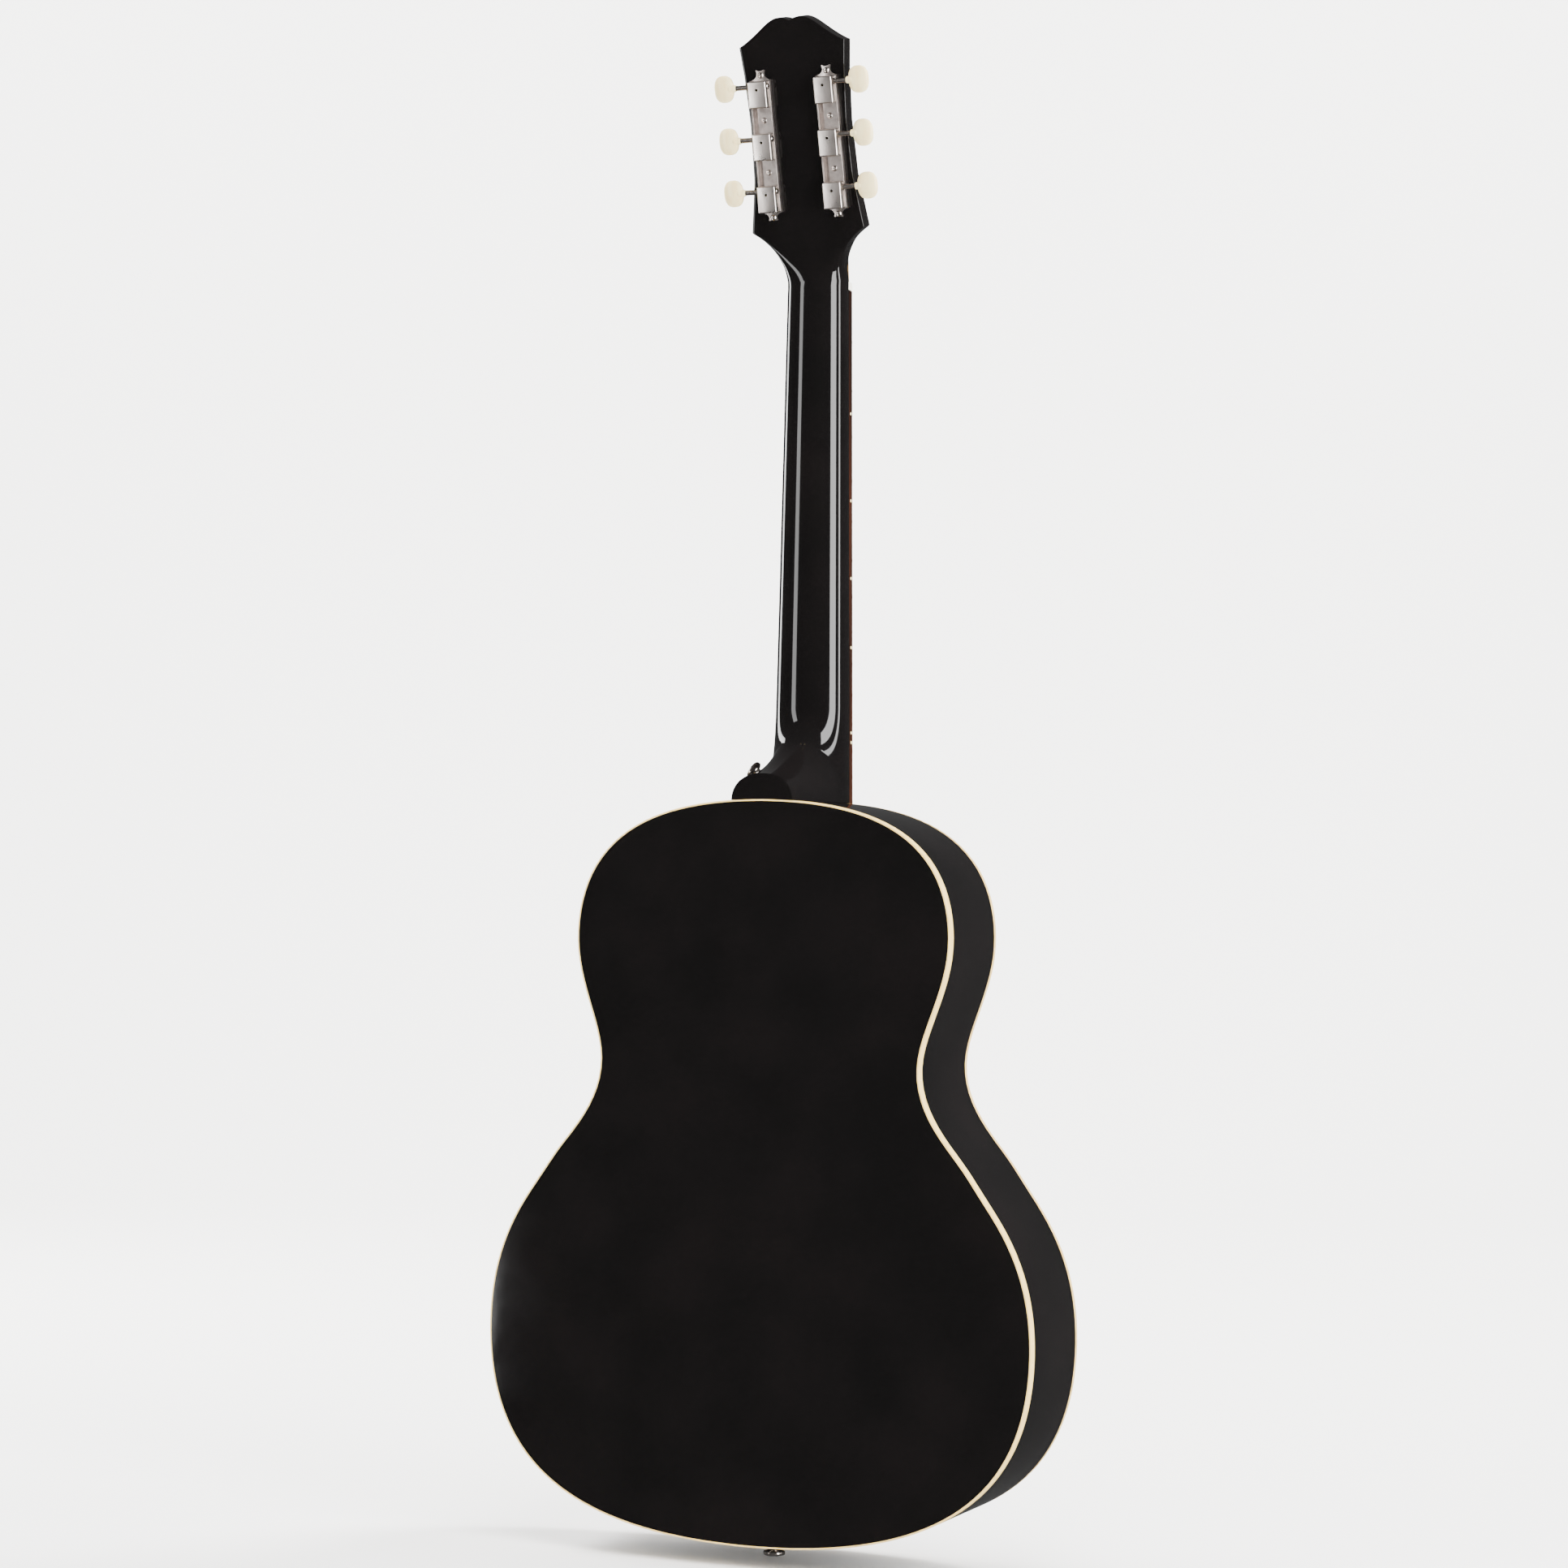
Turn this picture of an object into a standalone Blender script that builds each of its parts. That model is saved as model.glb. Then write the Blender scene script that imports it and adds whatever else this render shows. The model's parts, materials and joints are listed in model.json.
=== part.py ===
"""Small-bodied acoustic guitar with fourteen clear frets and six tuning machines.

The neck points up +Z, the soundboard faces -Y, the back faces +Y and the treble
side is +X. The origin is the centre of the outer face of the strap pin in the
tail. Lengths are in metres. Change a value in the first block to change the
guitar: everything that seats on it, passes through it or lines up with it follows.
"""
import math

import bmesh
import bpy
import numpy as np
from mathutils import Matrix, Vector

GAP = 0.0003                      # clearance between two pieces that touch

# ---- body ----------------------------------------------------------------------------
BODY_LENGTH = 0.489
LOWER_BOUT_HALF = 0.1942
LOWER_BOUT_ABOVE_TAIL = 0.1363
WAIST_HALF = 0.1135
WAIST_BELOW_SHOULDER = 0.1746
UPPER_BOUT_HALF = 0.1343
UPPER_BOUT_BELOW_SHOULDER = 0.0925
TAIL_DEPTH = 0.0975
SHOULDER_DEPTH = 0.0865
BACK_ARCH_RADIUS = 4.57
HALF_OUTLINE_STEPS = 26
SIDE_THICKNESS = 0.0024
TOP_THICKNESS = 0.0028
BACK_THICKNESS = 0.0028
BINDING_WIDTH = 0.0012
TOP_BINDING_HEIGHT = 0.004
BACK_BINDING_HEIGHT = 0.0068
LINING_WIDTH = 0.006
LINING_HEIGHT = 0.014
BLOCK_HALF_WIDTH = 0.035
NECK_BLOCK_LENGTH = 0.050
TAIL_BLOCK_LENGTH = 0.018

# ---- bracing -------------------------------------------------------------------------
BRACE_WIDTH = 0.0075
BRACE_HEIGHT = 0.013
BRACE_END_HEIGHT = 0.003
X_BRACE_HALF_ANGLE = math.radians(49)
GLUE_LINE = 0.00005
X_BELOW_HOLE = 0.028              # from the soundhole's edge to the middle of the X
SHOULDER_BRACE_ABOVE_HOLE = 0.012
TIE_HEIGHT = 0.007
TIE_END_HEIGHT = 0.006
TONE_BAR_HEIGHT = 0.009
TONE_BAR_ANGLE = math.radians(38)
BRIDGE_PLATE_THICKNESS = 0.0025
BRIDGE_PLATE_OVERHANG = 0.018     # past the bridge's middle, at both ends
BRIDGE_PLATE_BELOW_PINS = 0.014
BRIDGE_PLATE_ABOVE_SADDLE = 0.006
BACK_BRACE_COUNT = 4
CENTRE_STRIP_WIDTH = 0.016
CENTRE_STRIP_HEIGHT = 0.003
CENTRE_STRIP_CLEARANCE = 0.004    # from the strip's ends to the blocks

# ---- soundhole, scale and fingerboard ------------------------------------------------
SOUNDHOLE_RADIUS = 0.050
SCALE_LENGTH = 0.628
CLEAR_FRETS = 14
FRET_COUNT = 19
NUT_WIDTH = 0.043
NECK_TAPER = 0.03025              # growth of the width along the neck
FINGERBOARD_EDGE = 0.006
FINGERBOARD_RADIUS = 0.305
FINGERBOARD_OVERRUN = 0.008       # wood past the last fret
FRET_WIDTH = 0.0022
FRET_HEIGHT = 0.0011
FRET_SETBACK = 0.0004             # from the board's edge to a fret's end
FRET_SINK = 0.001                 # part of a fret inside the board
NUT_THICKNESS = 0.0055
NUT_STRING_RISE = 0.0013          # strings above the wood at the nut
NUT_SLOPE = 0.0012                # drop of the nut's top towards the headstock

# ---- neck and headstock --------------------------------------------------------------
NECK_DEPTH_AT_NUT = 0.0195
NECK_DEPTH_AT_HEEL = 0.0225
HEEL_CAP_HALF_WIDTH = 0.0220
HEEL_CAP_HEIGHT = 0.017
HEEL_CURVE_HEIGHT = 0.062            # where the back of the neck starts to sweep out
PLANED_OFF = 0.001                # wood taken off the front once the neck is joined up
PARED_OFF = 0.0025                # wood taken off the heel's foot to fit it to the sides
NECK_INTO_HEAD = 0.012
TENON_HALF_WIDTH = 0.010
TENON_LENGTH = 0.014
TENON_FRONT = TOP_THICKNESS + GAP + 0.003
TENON_DEPTH_SHARE = 0.8           # of the body's depth at the shoulder
TRUSS_ROD_WIDTH = 0.006
TRUSS_ROD_DEPTH = 0.009
ROD_AXIS_DEPTH = 0.006            # behind the neck's front
ROD_PAST_SHOULDER = 0.004         # the rod's ends lie this far past shoulder and nut
ROD_THREAD_RADIUS = 0.0018
ROD_NUT_RADIUS = 0.0038
ROD_NUT_LENGTH = 0.008
ROD_POCKET_RADIUS = 0.0045
ROD_POCKET_LENGTH = 0.016
ROD_COVER_HALF = 0.0112
ROD_COVER_LENGTH = 0.0275
ROD_COVER_THICKNESS = 0.0016
HEAD_TILT = math.radians(15)
HEAD_THICKNESS = 0.0135
EAR_HEIGHT = 0.0367               # along the headstock face, from its foot
EAR_HALF = 0.0412
HEAD_SIDE_HEIGHT = 0.1243         # from the ears to the top corners
HEAD_WAIST_HALF = 0.0350
HEAD_TOP_HALF = 0.0384
CREST_HEIGHT = 0.0180             # from the top corners to the crests

# ---- tuning machines -----------------------------------------------------------------
TUNER_COLUMN = 0.024              # lateral place of each row of three
TUNER_SPACING = 0.035
FIRST_TUNER_ABOVE_EARS = 0.0227
PLATE_WIDTH = 0.015
PLATE_THICKNESS = 0.0009
PLATE_FLANGE = 0.0036
PLATE_OVERRUN = 0.0045            # plate past the first and last cover
PLATE_TAB = 0.0068
PLATE_TAB_START = 0.004           # of the overrun, where the sheet starts to narrow
COVER_WIDTH = 0.0132
COVER_LENGTH = 0.0178
COVER_HEIGHT = 0.0088
COVER_WALL = 0.0006
OIL_HOLE_RADIUS = 0.0008
OIL_HOLE_OFFSET = 0.0033          # towards the tip, from the middle of the cover
WORM_OFFSET = 0.0053              # towards the tip, from the middle of the cover
GEAR_TEETH = 15
WORM_PITCH = 0.0022
WORM_MEAN_RADIUS = 0.00225
TOOTH_HEIGHT = 0.0013
TOOTH_BACKLASH = 0.00034
GEAR_THICKNESS = 0.0036
KEY_SHAFT_RADIUS = 0.0017
SHAFT_RISE = 0.0050               # shaft's centre above the plate
BUTTON_CENTRE = 0.049             # from the headstock's centre line
BUTTON_LENGTH = 0.018
BUTTON_WIDTH = 0.0142
BUTTON_THICKNESS = 0.0066
BUTTON_NECK_RADIUS = 0.0029
BUTTON_NECK_LENGTH = 0.0018       # short of the button's near end
SHAFT_INTO_BUTTON = 0.007
WORM_TURNS = 2.2
PRESS_FIT = 0.0001                # gap round a shaft inside its button
POST_RADIUS = 0.003
POST_HOLE_RADIUS = 0.00435
POST_RISE = 0.0172                # above the headstock's face
POST_STRING_HOLE = 0.0009
WINDING_RISE = 0.0092             # middle of the string's turns above the face

# ---- bridge, pins and strings --------------------------------------------------------
BRIDGE_HALF_LENGTH = 0.076
BRIDGE_MIDDLE_HALF = 0.046
BRIDGE_BELOW_SADDLE = 0.0185
BRIDGE_ABOVE_SADDLE = 0.0085
BRIDGE_HEIGHT = 0.0092
BRIDGE_WING_HEIGHT = 0.0036
SADDLE_HALF_LENGTH = 0.036
SADDLE_THICKNESS = 0.0031
SADDLE_SEAT = 0.0052
SADDLE_TURN = math.radians(2.2)
BRIDGE_END_HEIGHT = 0.0025
BRIDGE_SCOOP = 0.008              # length of the ramp from each wing to the middle
COMPENSATION = 0.0025
STRING_RISE_AT_SADDLE = 0.0127
PIN_BELOW_SADDLE = 0.0125
PIN_RADIUS = 0.0024
PIN_LENGTH = 0.021
PIN_HEAD_RADIUS = 0.0038
PIN_HEAD_HEIGHT = 0.0042
PIN_FLUTE_DEPTH = 0.0014
STRING_COUNT = 6
MACHINE_ORDER = {-1: (6, 5, 4), 1: (1, 2, 3)}   # strings from the ears to the tip, bass and treble
NUT_STRING_SPACING = 0.0071
BRIDGE_STRING_SPACING = 0.011
HIGH_STRING_RADIUS = 0.00016
LOW_STRING_RADIUS = 0.00067
STRING_TURNS = 2.0
WINDING_STEPS = 8                 # corners in one turn

# ---- strap pins and trim -------------------------------------------------------------
TAIL_PIN_HEIGHT = 0.013
TAIL_PIN_RADIUS = 0.0072
TAIL_PIN_SHANK = 0.0040
TAIL_PIN_SHANK_LENGTH = 0.017
HEEL_PIN_RADIUS = 0.0063
HEEL_PIN_HEIGHT = 0.0095
HEEL_PIN_SHANK = 0.0018
HEEL_PIN_SHANK_LENGTH = 0.012
HEEL_PIN_SPREAD = math.radians(57.9)   # its axis, turned from the neck towards treble
HEEL_PIN_DEPTH = 0.047                 # behind the soundboard
HEEL_PIN_RISE = 0.0052                 # where its axis leaves the middle of the heel, above the body
HEEL_PIN_SEAT = 0.0194                 # along its axis from there
PICKGUARD_THICKNESS = 0.0008
RING_ROOM = 0.006                 # soundhole's edge to the fingerboard and the pickguard

# ---- places worked out from the sizes above ------------------------------------------
FRONT = -TAIL_DEPTH / 2
TAIL = TAIL_PIN_HEIGHT
SHOULDER = TAIL + BODY_LENGTH


def fret_distance(number):
    """Distance from the nut to a fret."""
    return SCALE_LENGTH * (1 - 2 ** (-number / 12))


NUT = SHOULDER + fret_distance(CLEAR_FRETS)
SADDLE = NUT - SCALE_LENGTH - COMPENSATION
BOARD_END = NUT - fret_distance(FRET_COUNT) - FINGERBOARD_OVERRUN
SOUNDHOLE = BOARD_END - SOUNDHOLE_RADIUS - RING_ROOM
HEAD_FOOT = NUT + NUT_THICKNESS + 2 * GAP
PIN_LINE = SADDLE - PIN_BELOW_SADDLE
COVER_HEIGHTS = [EAR_HEIGHT + FIRST_TUNER_ABOVE_EARS + TUNER_SPACING * row for row in range(3)]
GEAR_MEAN_RADIUS = GEAR_TEETH * WORM_PITCH / (2 * math.pi)
POST_OFFSET = WORM_OFFSET - GEAR_MEAN_RADIUS - WORM_MEAN_RADIUS
HEAD = (Matrix.Translation((0, FRONT, HEAD_FOOT)) @ Matrix.Rotation(-HEAD_TILT, 4, "X"))
PLATE_FACE = HEAD_THICKNESS + GAP + PLATE_THICKNESS
SHAFT_LEVEL = PLATE_FACE + SHAFT_RISE

# ---- collections and materials -------------------------------------------------------
for old in list(bpy.data.objects):
    bpy.data.objects.remove(old)
PARTS = bpy.data.collections.new("acoustic_guitar")
CUTTERS = bpy.data.collections.new("cutters")
for group in (PARTS, CUTTERS):
    bpy.context.scene.collection.children.link(group)


def material(name, colour, roughness, metallic=0.0):
    """A plain finish."""
    finish = bpy.data.materials.new(name)
    finish.use_nodes = True
    shader = finish.node_tree.nodes["Principled BSDF"]
    shader.inputs["Base Color"].default_value = (*colour, 1)
    shader.inputs["Roughness"].default_value = roughness
    shader.inputs["Metallic"].default_value = metallic
    return finish


BLACK = (0.006, 0.005, 0.005)
CREAM = (0.88, 0.72, 0.46)
SPRUCE = (0.62, 0.42, 0.22)
MAHOGANY = (0.28, 0.12, 0.06)
ROSEWOOD = (0.05, 0.022, 0.012)
NICKEL = (0.72, 0.68, 0.63)
STEEL = (0.3, 0.3, 0.3)
BRASS = (0.6, 0.5, 0.25)
BONE = (0.9, 0.88, 0.82)


# ---- making pieces -------------------------------------------------------------------
def place(name, mesh, colour, roughness=0.4, metallic=0.0, matrix=None):
    """Put a mesh in the guitar as a piece with its own finish."""
    piece = bpy.data.objects.new(name, mesh)
    PARTS.objects.link(piece)
    if matrix is not None:
        piece.matrix_world = matrix
    mesh.materials.clear()
    mesh.materials.append(material(name, colour, roughness, metallic))
    mesh.shade_smooth()
    mesh.set_sharp_from_angle(angle=math.radians(35))
    return piece


def as_cutter(piece):
    """Take a piece out of the guitar and keep it as a tool."""
    PARTS.objects.unlink(piece)
    CUTTERS.objects.link(piece)
    piece.hide_render = True
    piece.display_type = "WIRE"
    return piece


def combine(piece, tool, operation):
    """Cut a piece with a tool, or join the tool to it."""
    step = piece.modifiers.new(operation.lower(), "BOOLEAN")
    step.operation = operation
    step.solver = "EXACT"
    step.object = tool


def cut(piece, *tools):
    """Take the tools away from a piece."""
    for tool in tools:
        combine(piece, tool, "DIFFERENCE")


def join(piece, *tools):
    """Make other pieces part of this one."""
    for tool in tools:
        combine(piece, as_cutter(tool), "UNION")


def loft(rings, closed=False):
    """Skin of quads through rings of points, capped unless it closes on itself."""
    shape = bmesh.new()
    rows = [[shape.verts.new(point) for point in ring] for ring in rings]
    size = len(rings[0])
    pairs = list(zip(rows, rows[1:] + rows[:1])) if closed else list(zip(rows, rows[1:]))
    for low, high in pairs:
        for i in range(size):
            j = (i + 1) % size
            shape.faces.new((low[i], low[j], high[j], high[i]))
    if not closed:
        shape.faces.new(rows[0])
        shape.faces.new(rows[-1])
    bmesh.ops.recalc_face_normals(shape, faces=shape.faces)
    mesh = bpy.data.meshes.new("loft")
    shape.to_mesh(mesh)
    shape.free()
    return mesh


def flat(loops, low, high):
    """Flat piece from outlines in local X and Z, standing from low to high along Y."""
    curve = bpy.data.curves.new("flat", "CURVE")
    curve.dimensions = "2D"
    curve.fill_mode = "BOTH"
    curve.extrude = (high - low) / 2
    for loop in loops:
        spline = curve.splines.new("POLY")
        spline.points.add(len(loop) - 1)
        spline.use_cyclic_u = True
        for point, (x, z) in zip(spline.points, loop):
            point.co = (x, z, 0, 1)
    holder = bpy.data.objects.new("flat", curve)
    CUTTERS.objects.link(holder)
    graph = bpy.context.evaluated_depsgraph_get()
    mesh = bpy.data.meshes.new_from_object(holder.evaluated_get(graph))
    bpy.data.objects.remove(holder)
    stand = Matrix.Translation((0, (low + high) / 2, 0)) @ Matrix.Rotation(math.pi / 2, 4, "X")
    mesh.transform(stand)
    shape = bmesh.new()
    shape.from_mesh(mesh)
    bmesh.ops.remove_doubles(shape, verts=shape.verts, dist=0.00001)
    bmesh.ops.recalc_face_normals(shape, faces=shape.faces)
    shape.to_mesh(mesh)
    shape.free()
    return mesh


def block(low, high):
    """Box between two corners."""
    shape = bmesh.new()
    bmesh.ops.create_cube(shape, size=1)
    low, high = Vector(low), Vector(high)
    bmesh.ops.scale(shape, verts=shape.verts, vec=high - low)
    bmesh.ops.translate(shape, verts=shape.verts, vec=(low + high) / 2)
    mesh = bpy.data.meshes.new("block")
    shape.to_mesh(mesh)
    shape.free()
    return mesh


def rod(radius, low, high, axis="Z", far_radius=None, sides=16):
    """Cylinder or cone along a local axis."""
    shape = bmesh.new()
    bmesh.ops.create_cone(shape, cap_ends=True, segments=sides, radius1=radius,
                          radius2=radius if far_radius is None else far_radius, depth=high - low)
    bmesh.ops.translate(shape, verts=shape.verts, vec=(0, 0, (low + high) / 2))
    turns = {"X": Matrix.Rotation(math.pi / 2, 4, "Y"), "Y": Matrix.Rotation(-math.pi / 2, 4, "X"),
             "Z": Matrix.Identity(4)}
    bmesh.ops.transform(shape, verts=shape.verts, matrix=turns[axis])
    mesh = bpy.data.meshes.new("rod")
    shape.to_mesh(mesh)
    shape.free()
    return mesh


def turned(name, profile, colour, roughness, metallic, matrix, steps=14):
    """Round piece: a profile of (radius, height), top to bottom, turned about Z."""
    mesh = bpy.data.meshes.new(name)
    corners = [(radius, 0, height) for radius, height in profile]
    mesh.from_pydata(corners, [(i, i + 1) for i in range(len(corners) - 1)], [])
    piece = place(name, mesh, colour, roughness, metallic, matrix)
    spin = piece.modifiers.new("turn", "SCREW")
    spin.axis = "Z"
    spin.steps = spin.render_steps = steps
    spin.use_merge_vertices = True
    spin.merge_threshold = 0.00001
    return piece


def empty(name, matrix):
    """Marker on an axis, for the pieces that turn about it."""
    marker = bpy.data.objects.new(name, None)
    marker.empty_display_size = 0.01
    PARTS.objects.link(marker)
    marker.matrix_world = matrix
    return marker


def hang(piece, marker):
    """Parent a piece to a marker without moving it."""
    bpy.context.view_layer.update()
    piece.parent = marker
    piece.matrix_parent_inverse = marker.matrix_world.inverted()


# ---- the body's outline --------------------------------------------------------------
def bezier(start, leave, arrive, end, count):
    """Points of one cubic piece, without its last."""
    t = np.linspace(0, 1, count, endpoint=False)[:, None]
    return ((1 - t) ** 3 * start + 3 * (1 - t) ** 2 * t * leave
            + 3 * (1 - t) * t ** 2 * arrive + t ** 3 * end)


def half_outline():
    """Evenly spaced points on the treble half, from the tail to the shoulder."""
    waist_height = BODY_LENGTH - WAIST_BELOW_SHOULDER
    flank = waist_height - LOWER_BOUT_ABOVE_TAIL
    chest = WAIST_BELOW_SHOULDER - UPPER_BOUT_BELOW_SHOULDER
    lean = (LOWER_BOUT_HALF - WAIST_HALF) * 0.53
    anchors = [                                # place, direction, handle before, handle after
        ((0, 0), (1, 0), 0, LOWER_BOUT_HALF * 0.769),
        ((LOWER_BOUT_HALF, LOWER_BOUT_ABOVE_TAIL), (0, 1), LOWER_BOUT_ABOVE_TAIL * 0.594,
         flank * 0.359),
        ((LOWER_BOUT_HALF - lean, LOWER_BOUT_ABOVE_TAIL + flank * 0.611), (-0.479, 0.878),
         flank * 0.109, flank * 0.088),
        ((WAIST_HALF, waist_height), (0, 1), flank * 0.187, chest * 0.256),
        ((UPPER_BOUT_HALF, BODY_LENGTH - UPPER_BOUT_BELOW_SHOULDER), (0, 1), chest * 0.373,
         UPPER_BOUT_BELOW_SHOULDER * 0.659),
        ((0, BODY_LENGTH), (-1, 0), UPPER_BOUT_HALF * 0.682, 0),
    ]
    points = []
    for (a, aim_a, _, leave), (b, aim_b, arrive, _) in zip(anchors, anchors[1:]):
        a, b, aim_a, aim_b = (np.array(value, float) for value in (a, b, aim_a, aim_b))
        points.append(bezier(a, a + aim_a * leave, b - aim_b * arrive, b, 60))
    points = np.vstack(points + [np.array([[0, BODY_LENGTH]])])
    walked = np.concatenate([[0], np.cumsum(np.hypot(*np.diff(points, axis=0).T))])
    even = np.linspace(0, walked[-1], HALF_OUTLINE_STEPS + 1)
    return np.column_stack([np.interp(even, walked, points[:, 0]),
                            np.interp(even, walked, points[:, 1])])


def whole_outline():
    """The closed outline and its outward directions, from the tail up the treble side."""
    half = half_outline()
    loop = np.vstack([half, (half * [-1, 1])[-2:0:-1]]) + [0, TAIL]
    ahead = np.roll(loop, -1, axis=0) - np.roll(loop, 1, axis=0)
    ahead /= np.linalg.norm(ahead, axis=1)[:, None]
    return loop, np.column_stack([ahead[:, 1], -ahead[:, 0]])


OUTLINE, OUTWARD = whole_outline()


def inset(distance):
    """The outline moved inwards."""
    return [tuple(point) for point in OUTLINE - OUTWARD * distance]


def back_at(x, z):
    """Outer surface of the back: it tapers to the shoulder and arches across."""
    share = (z - TAIL) / BODY_LENGTH
    return FRONT + TAIL_DEPTH + (SHOULDER_DEPTH - TAIL_DEPTH) * share - x * x / (2 * BACK_ARCH_RADIUS)


def rim(profile):
    """Ring round the body: a profile of (inset, front or back, distance from that face)."""
    rings = []
    for i in range(len(OUTLINE)):
        ring = []
        for distance, face, level in profile:
            x, z = OUTLINE[i] - OUTWARD[i] * distance
            y = FRONT + level if face == "front" else back_at(x, z) - level
            ring.append((x, y, z))
        rings.append(ring)
    return loft(rings, closed=True)


def run_to_edge(x, z, angle, edge):
    """Distance from a point to the outline, moved in by edge, along an angle from +X."""
    loop = inset(edge)
    aim = (math.cos(angle), math.sin(angle))
    best = 10.0
    for (ax, az), (bx, bz) in zip(loop, loop[1:] + loop[:1]):
        ex, ez = bx - ax, bz - az
        span = aim[0] * ez - aim[1] * ex
        if abs(span) < 1e-12:
            continue
        along = ((ax - x) * ez - (az - z) * ex) / span
        share = ((ax - x) * aim[1] - (az - z) * aim[0]) / span
        if along > 0 and -1e-9 <= share <= 1:
            best = min(best, along)
    return best


# ---- body ----------------------------------------------------------------------------
INNER = SIDE_THICKNESS + GAP
CLEAR_OF_LINING = INNER + LINING_WIDTH + GAP
PLATE_EDGE = BINDING_WIDTH + GAP
UNDER_TOP = TOP_THICKNESS + GAP
UNDER_BACK = BACK_THICKNESS + GAP


def circle(x, z, radius, sides):
    """Points round a circle in X and Z."""
    return [(x + radius * math.cos(2 * math.pi * k / sides),
             z + radius * math.sin(2 * math.pi * k / sides)) for k in range(sides)]


def make_plates():
    """Soundboard with its soundhole, and the arched back."""
    soundboard = place("soundboard", flat([inset(PLATE_EDGE), circle(0, SOUNDHOLE, SOUNDHOLE_RADIUS, 40)],
                                          FRONT, FRONT + TOP_THICKNESS), BLACK, 0.15)
    edge = np.array(inset(PLATE_EDGE))
    middle = np.array([0, TAIL + BODY_LENGTH * 0.55])
    rings = [middle + (edge - middle) * share for share in (0.02, 0.34, 0.67, 1.0)]
    outer = [[(x, back_at(x, z), z) for x, z in ring] for ring in rings]
    lower = [[(x, back_at(x, z) - BACK_THICKNESS, z) for x, z in ring] for ring in rings[::-1]]
    place("back_plate", loft(outer + lower), BLACK, 0.15)
    return soundboard


def make_rims():
    """Sides, rebated for the bindings, then the bindings and the linings."""
    step, ledge = BINDING_WIDTH + GAP, SIDE_THICKNESS
    sides = place("sides", rim([
        (0, "front", TOP_BINDING_HEIGHT + GAP), (0, "back", BACK_BINDING_HEIGHT + GAP),
        (step, "back", BACK_BINDING_HEIGHT + GAP), (step, "back", UNDER_BACK),
        (ledge, "back", UNDER_BACK), (ledge, "front", UNDER_TOP),
        (step, "front", UNDER_TOP), (step, "front", TOP_BINDING_HEIGHT + GAP)]), BLACK, 0.12)
    for face, height in (("front", TOP_BINDING_HEIGHT), ("back", BACK_BINDING_HEIGHT)):
        name = "top_binding" if face == "front" else "back_binding"
        place(name, rim([(0, face, 0), (0, face, height), (BINDING_WIDTH, face, height),
                         (BINDING_WIDTH, face, 0)]), CREAM, 0.3)
    linings, tools = [], []
    for face, under in (("front", UNDER_TOP), ("back", UNDER_BACK)):
        name = "top_lining" if face == "front" else "back_lining"
        linings.append(place(name, rim([
            (INNER, face, under), (INNER, face, under + LINING_HEIGHT),
            (INNER + LINING_WIDTH * 0.3, face, under + LINING_HEIGHT),
            (INNER + LINING_WIDTH, face, under + LINING_HEIGHT * 0.3),
            (INNER + LINING_WIDTH, face, under)]), SPRUCE, 0.7))
        room = LINING_HEIGHT + GAP
        tools.append(as_cutter(place(name + "_room", rim([
            (0, face, 0), (0, face, under + room), (CLEAR_OF_LINING, face, under + room),
            (CLEAR_OF_LINING, face, 0)]), SPRUCE)))
    return sides, linings[0], tools


def make_block(name, near_tail, length, tools):
    """Block between the plates, against the sides, notched for the linings."""
    along = sorted((x, z) for x, z in inset(INNER) if (z < TAIL + BODY_LENGTH * 0.2) == near_tail
                   and (near_tail or z > SHOULDER - BODY_LENGTH * 0.15))
    edge = np.array(along).T
    corners = [(x, float(np.interp(x, *edge))) for x in (-BLOCK_HALF_WIDTH, BLOCK_HALF_WIDTH)]
    inside = [point for point in along if abs(point[0]) < BLOCK_HALF_WIDTH]
    inner = TAIL + length if near_tail else SHOULDER - length
    loop = [corners[0]] + inside + [corners[1], (BLOCK_HALF_WIDTH, inner), (-BLOCK_HALF_WIDTH, inner)]
    rings = [[(x, FRONT + UNDER_TOP, z) for x, z in loop],
             [(x, back_at(x, z) - UNDER_BACK, z) for x, z in loop]]
    piece = place(name, loft(rings), MAHOGANY, 0.7)
    cut(piece, *tools)
    return piece


def brace(start, angle, length, base, rise, stations=4, end_height=BRACE_END_HEIGHT,
          width=BRACE_WIDTH, height=BRACE_HEIGHT):
    """Bar glued under a plate: base gives the plate's level, rise its direction along Y."""
    shares = np.linspace(0, 1, stations)
    shares = np.unique(np.concatenate([shares, [0.15, 0.85]]))
    rings = []
    for share in shares:
        tall = end_height + (height - end_height) * min(1, min(share, 1 - share) / 0.15)
        x = start[0] + math.cos(angle) * length * share
        z = start[1] + math.sin(angle) * length * share
        across = (-math.sin(angle) * width / 2, math.cos(angle) * width / 2)
        ring = []
        for side, level in ((1, 0), (1, 0.7), (0.4, 1), (-0.4, 1), (-1, 0.7), (-1, 0)):
            px, pz = x + across[0] * side, z + across[1] * side
            ring.append((px, base(px, pz) + rise * tall * level, pz))
        rings.append(ring)
    return loft(rings)


def edge_brace(start, angle, base, rise, **sizes):
    """A brace that runs through a point to the linings at both ends."""
    reach = CLEAR_OF_LINING + sizes.get("width", BRACE_WIDTH)
    ahead = run_to_edge(*start, angle, reach)
    behind = run_to_edge(*start, angle + math.pi, reach)
    foot = (start[0] - math.cos(angle) * behind, start[1] - math.sin(angle) * behind)
    return brace(foot, angle, ahead + behind, base, rise, **sizes)


def under_top(order):
    """Level of a top brace's glued side: each joined brace stands one glue line off the last."""
    return lambda x, z: FRONT + UNDER_TOP + order * GLUE_LINE


def under_back(order):
    """The same for a brace of the back."""
    return lambda x, z: back_at(x, z) - UNDER_BACK - order * GLUE_LINE


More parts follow.
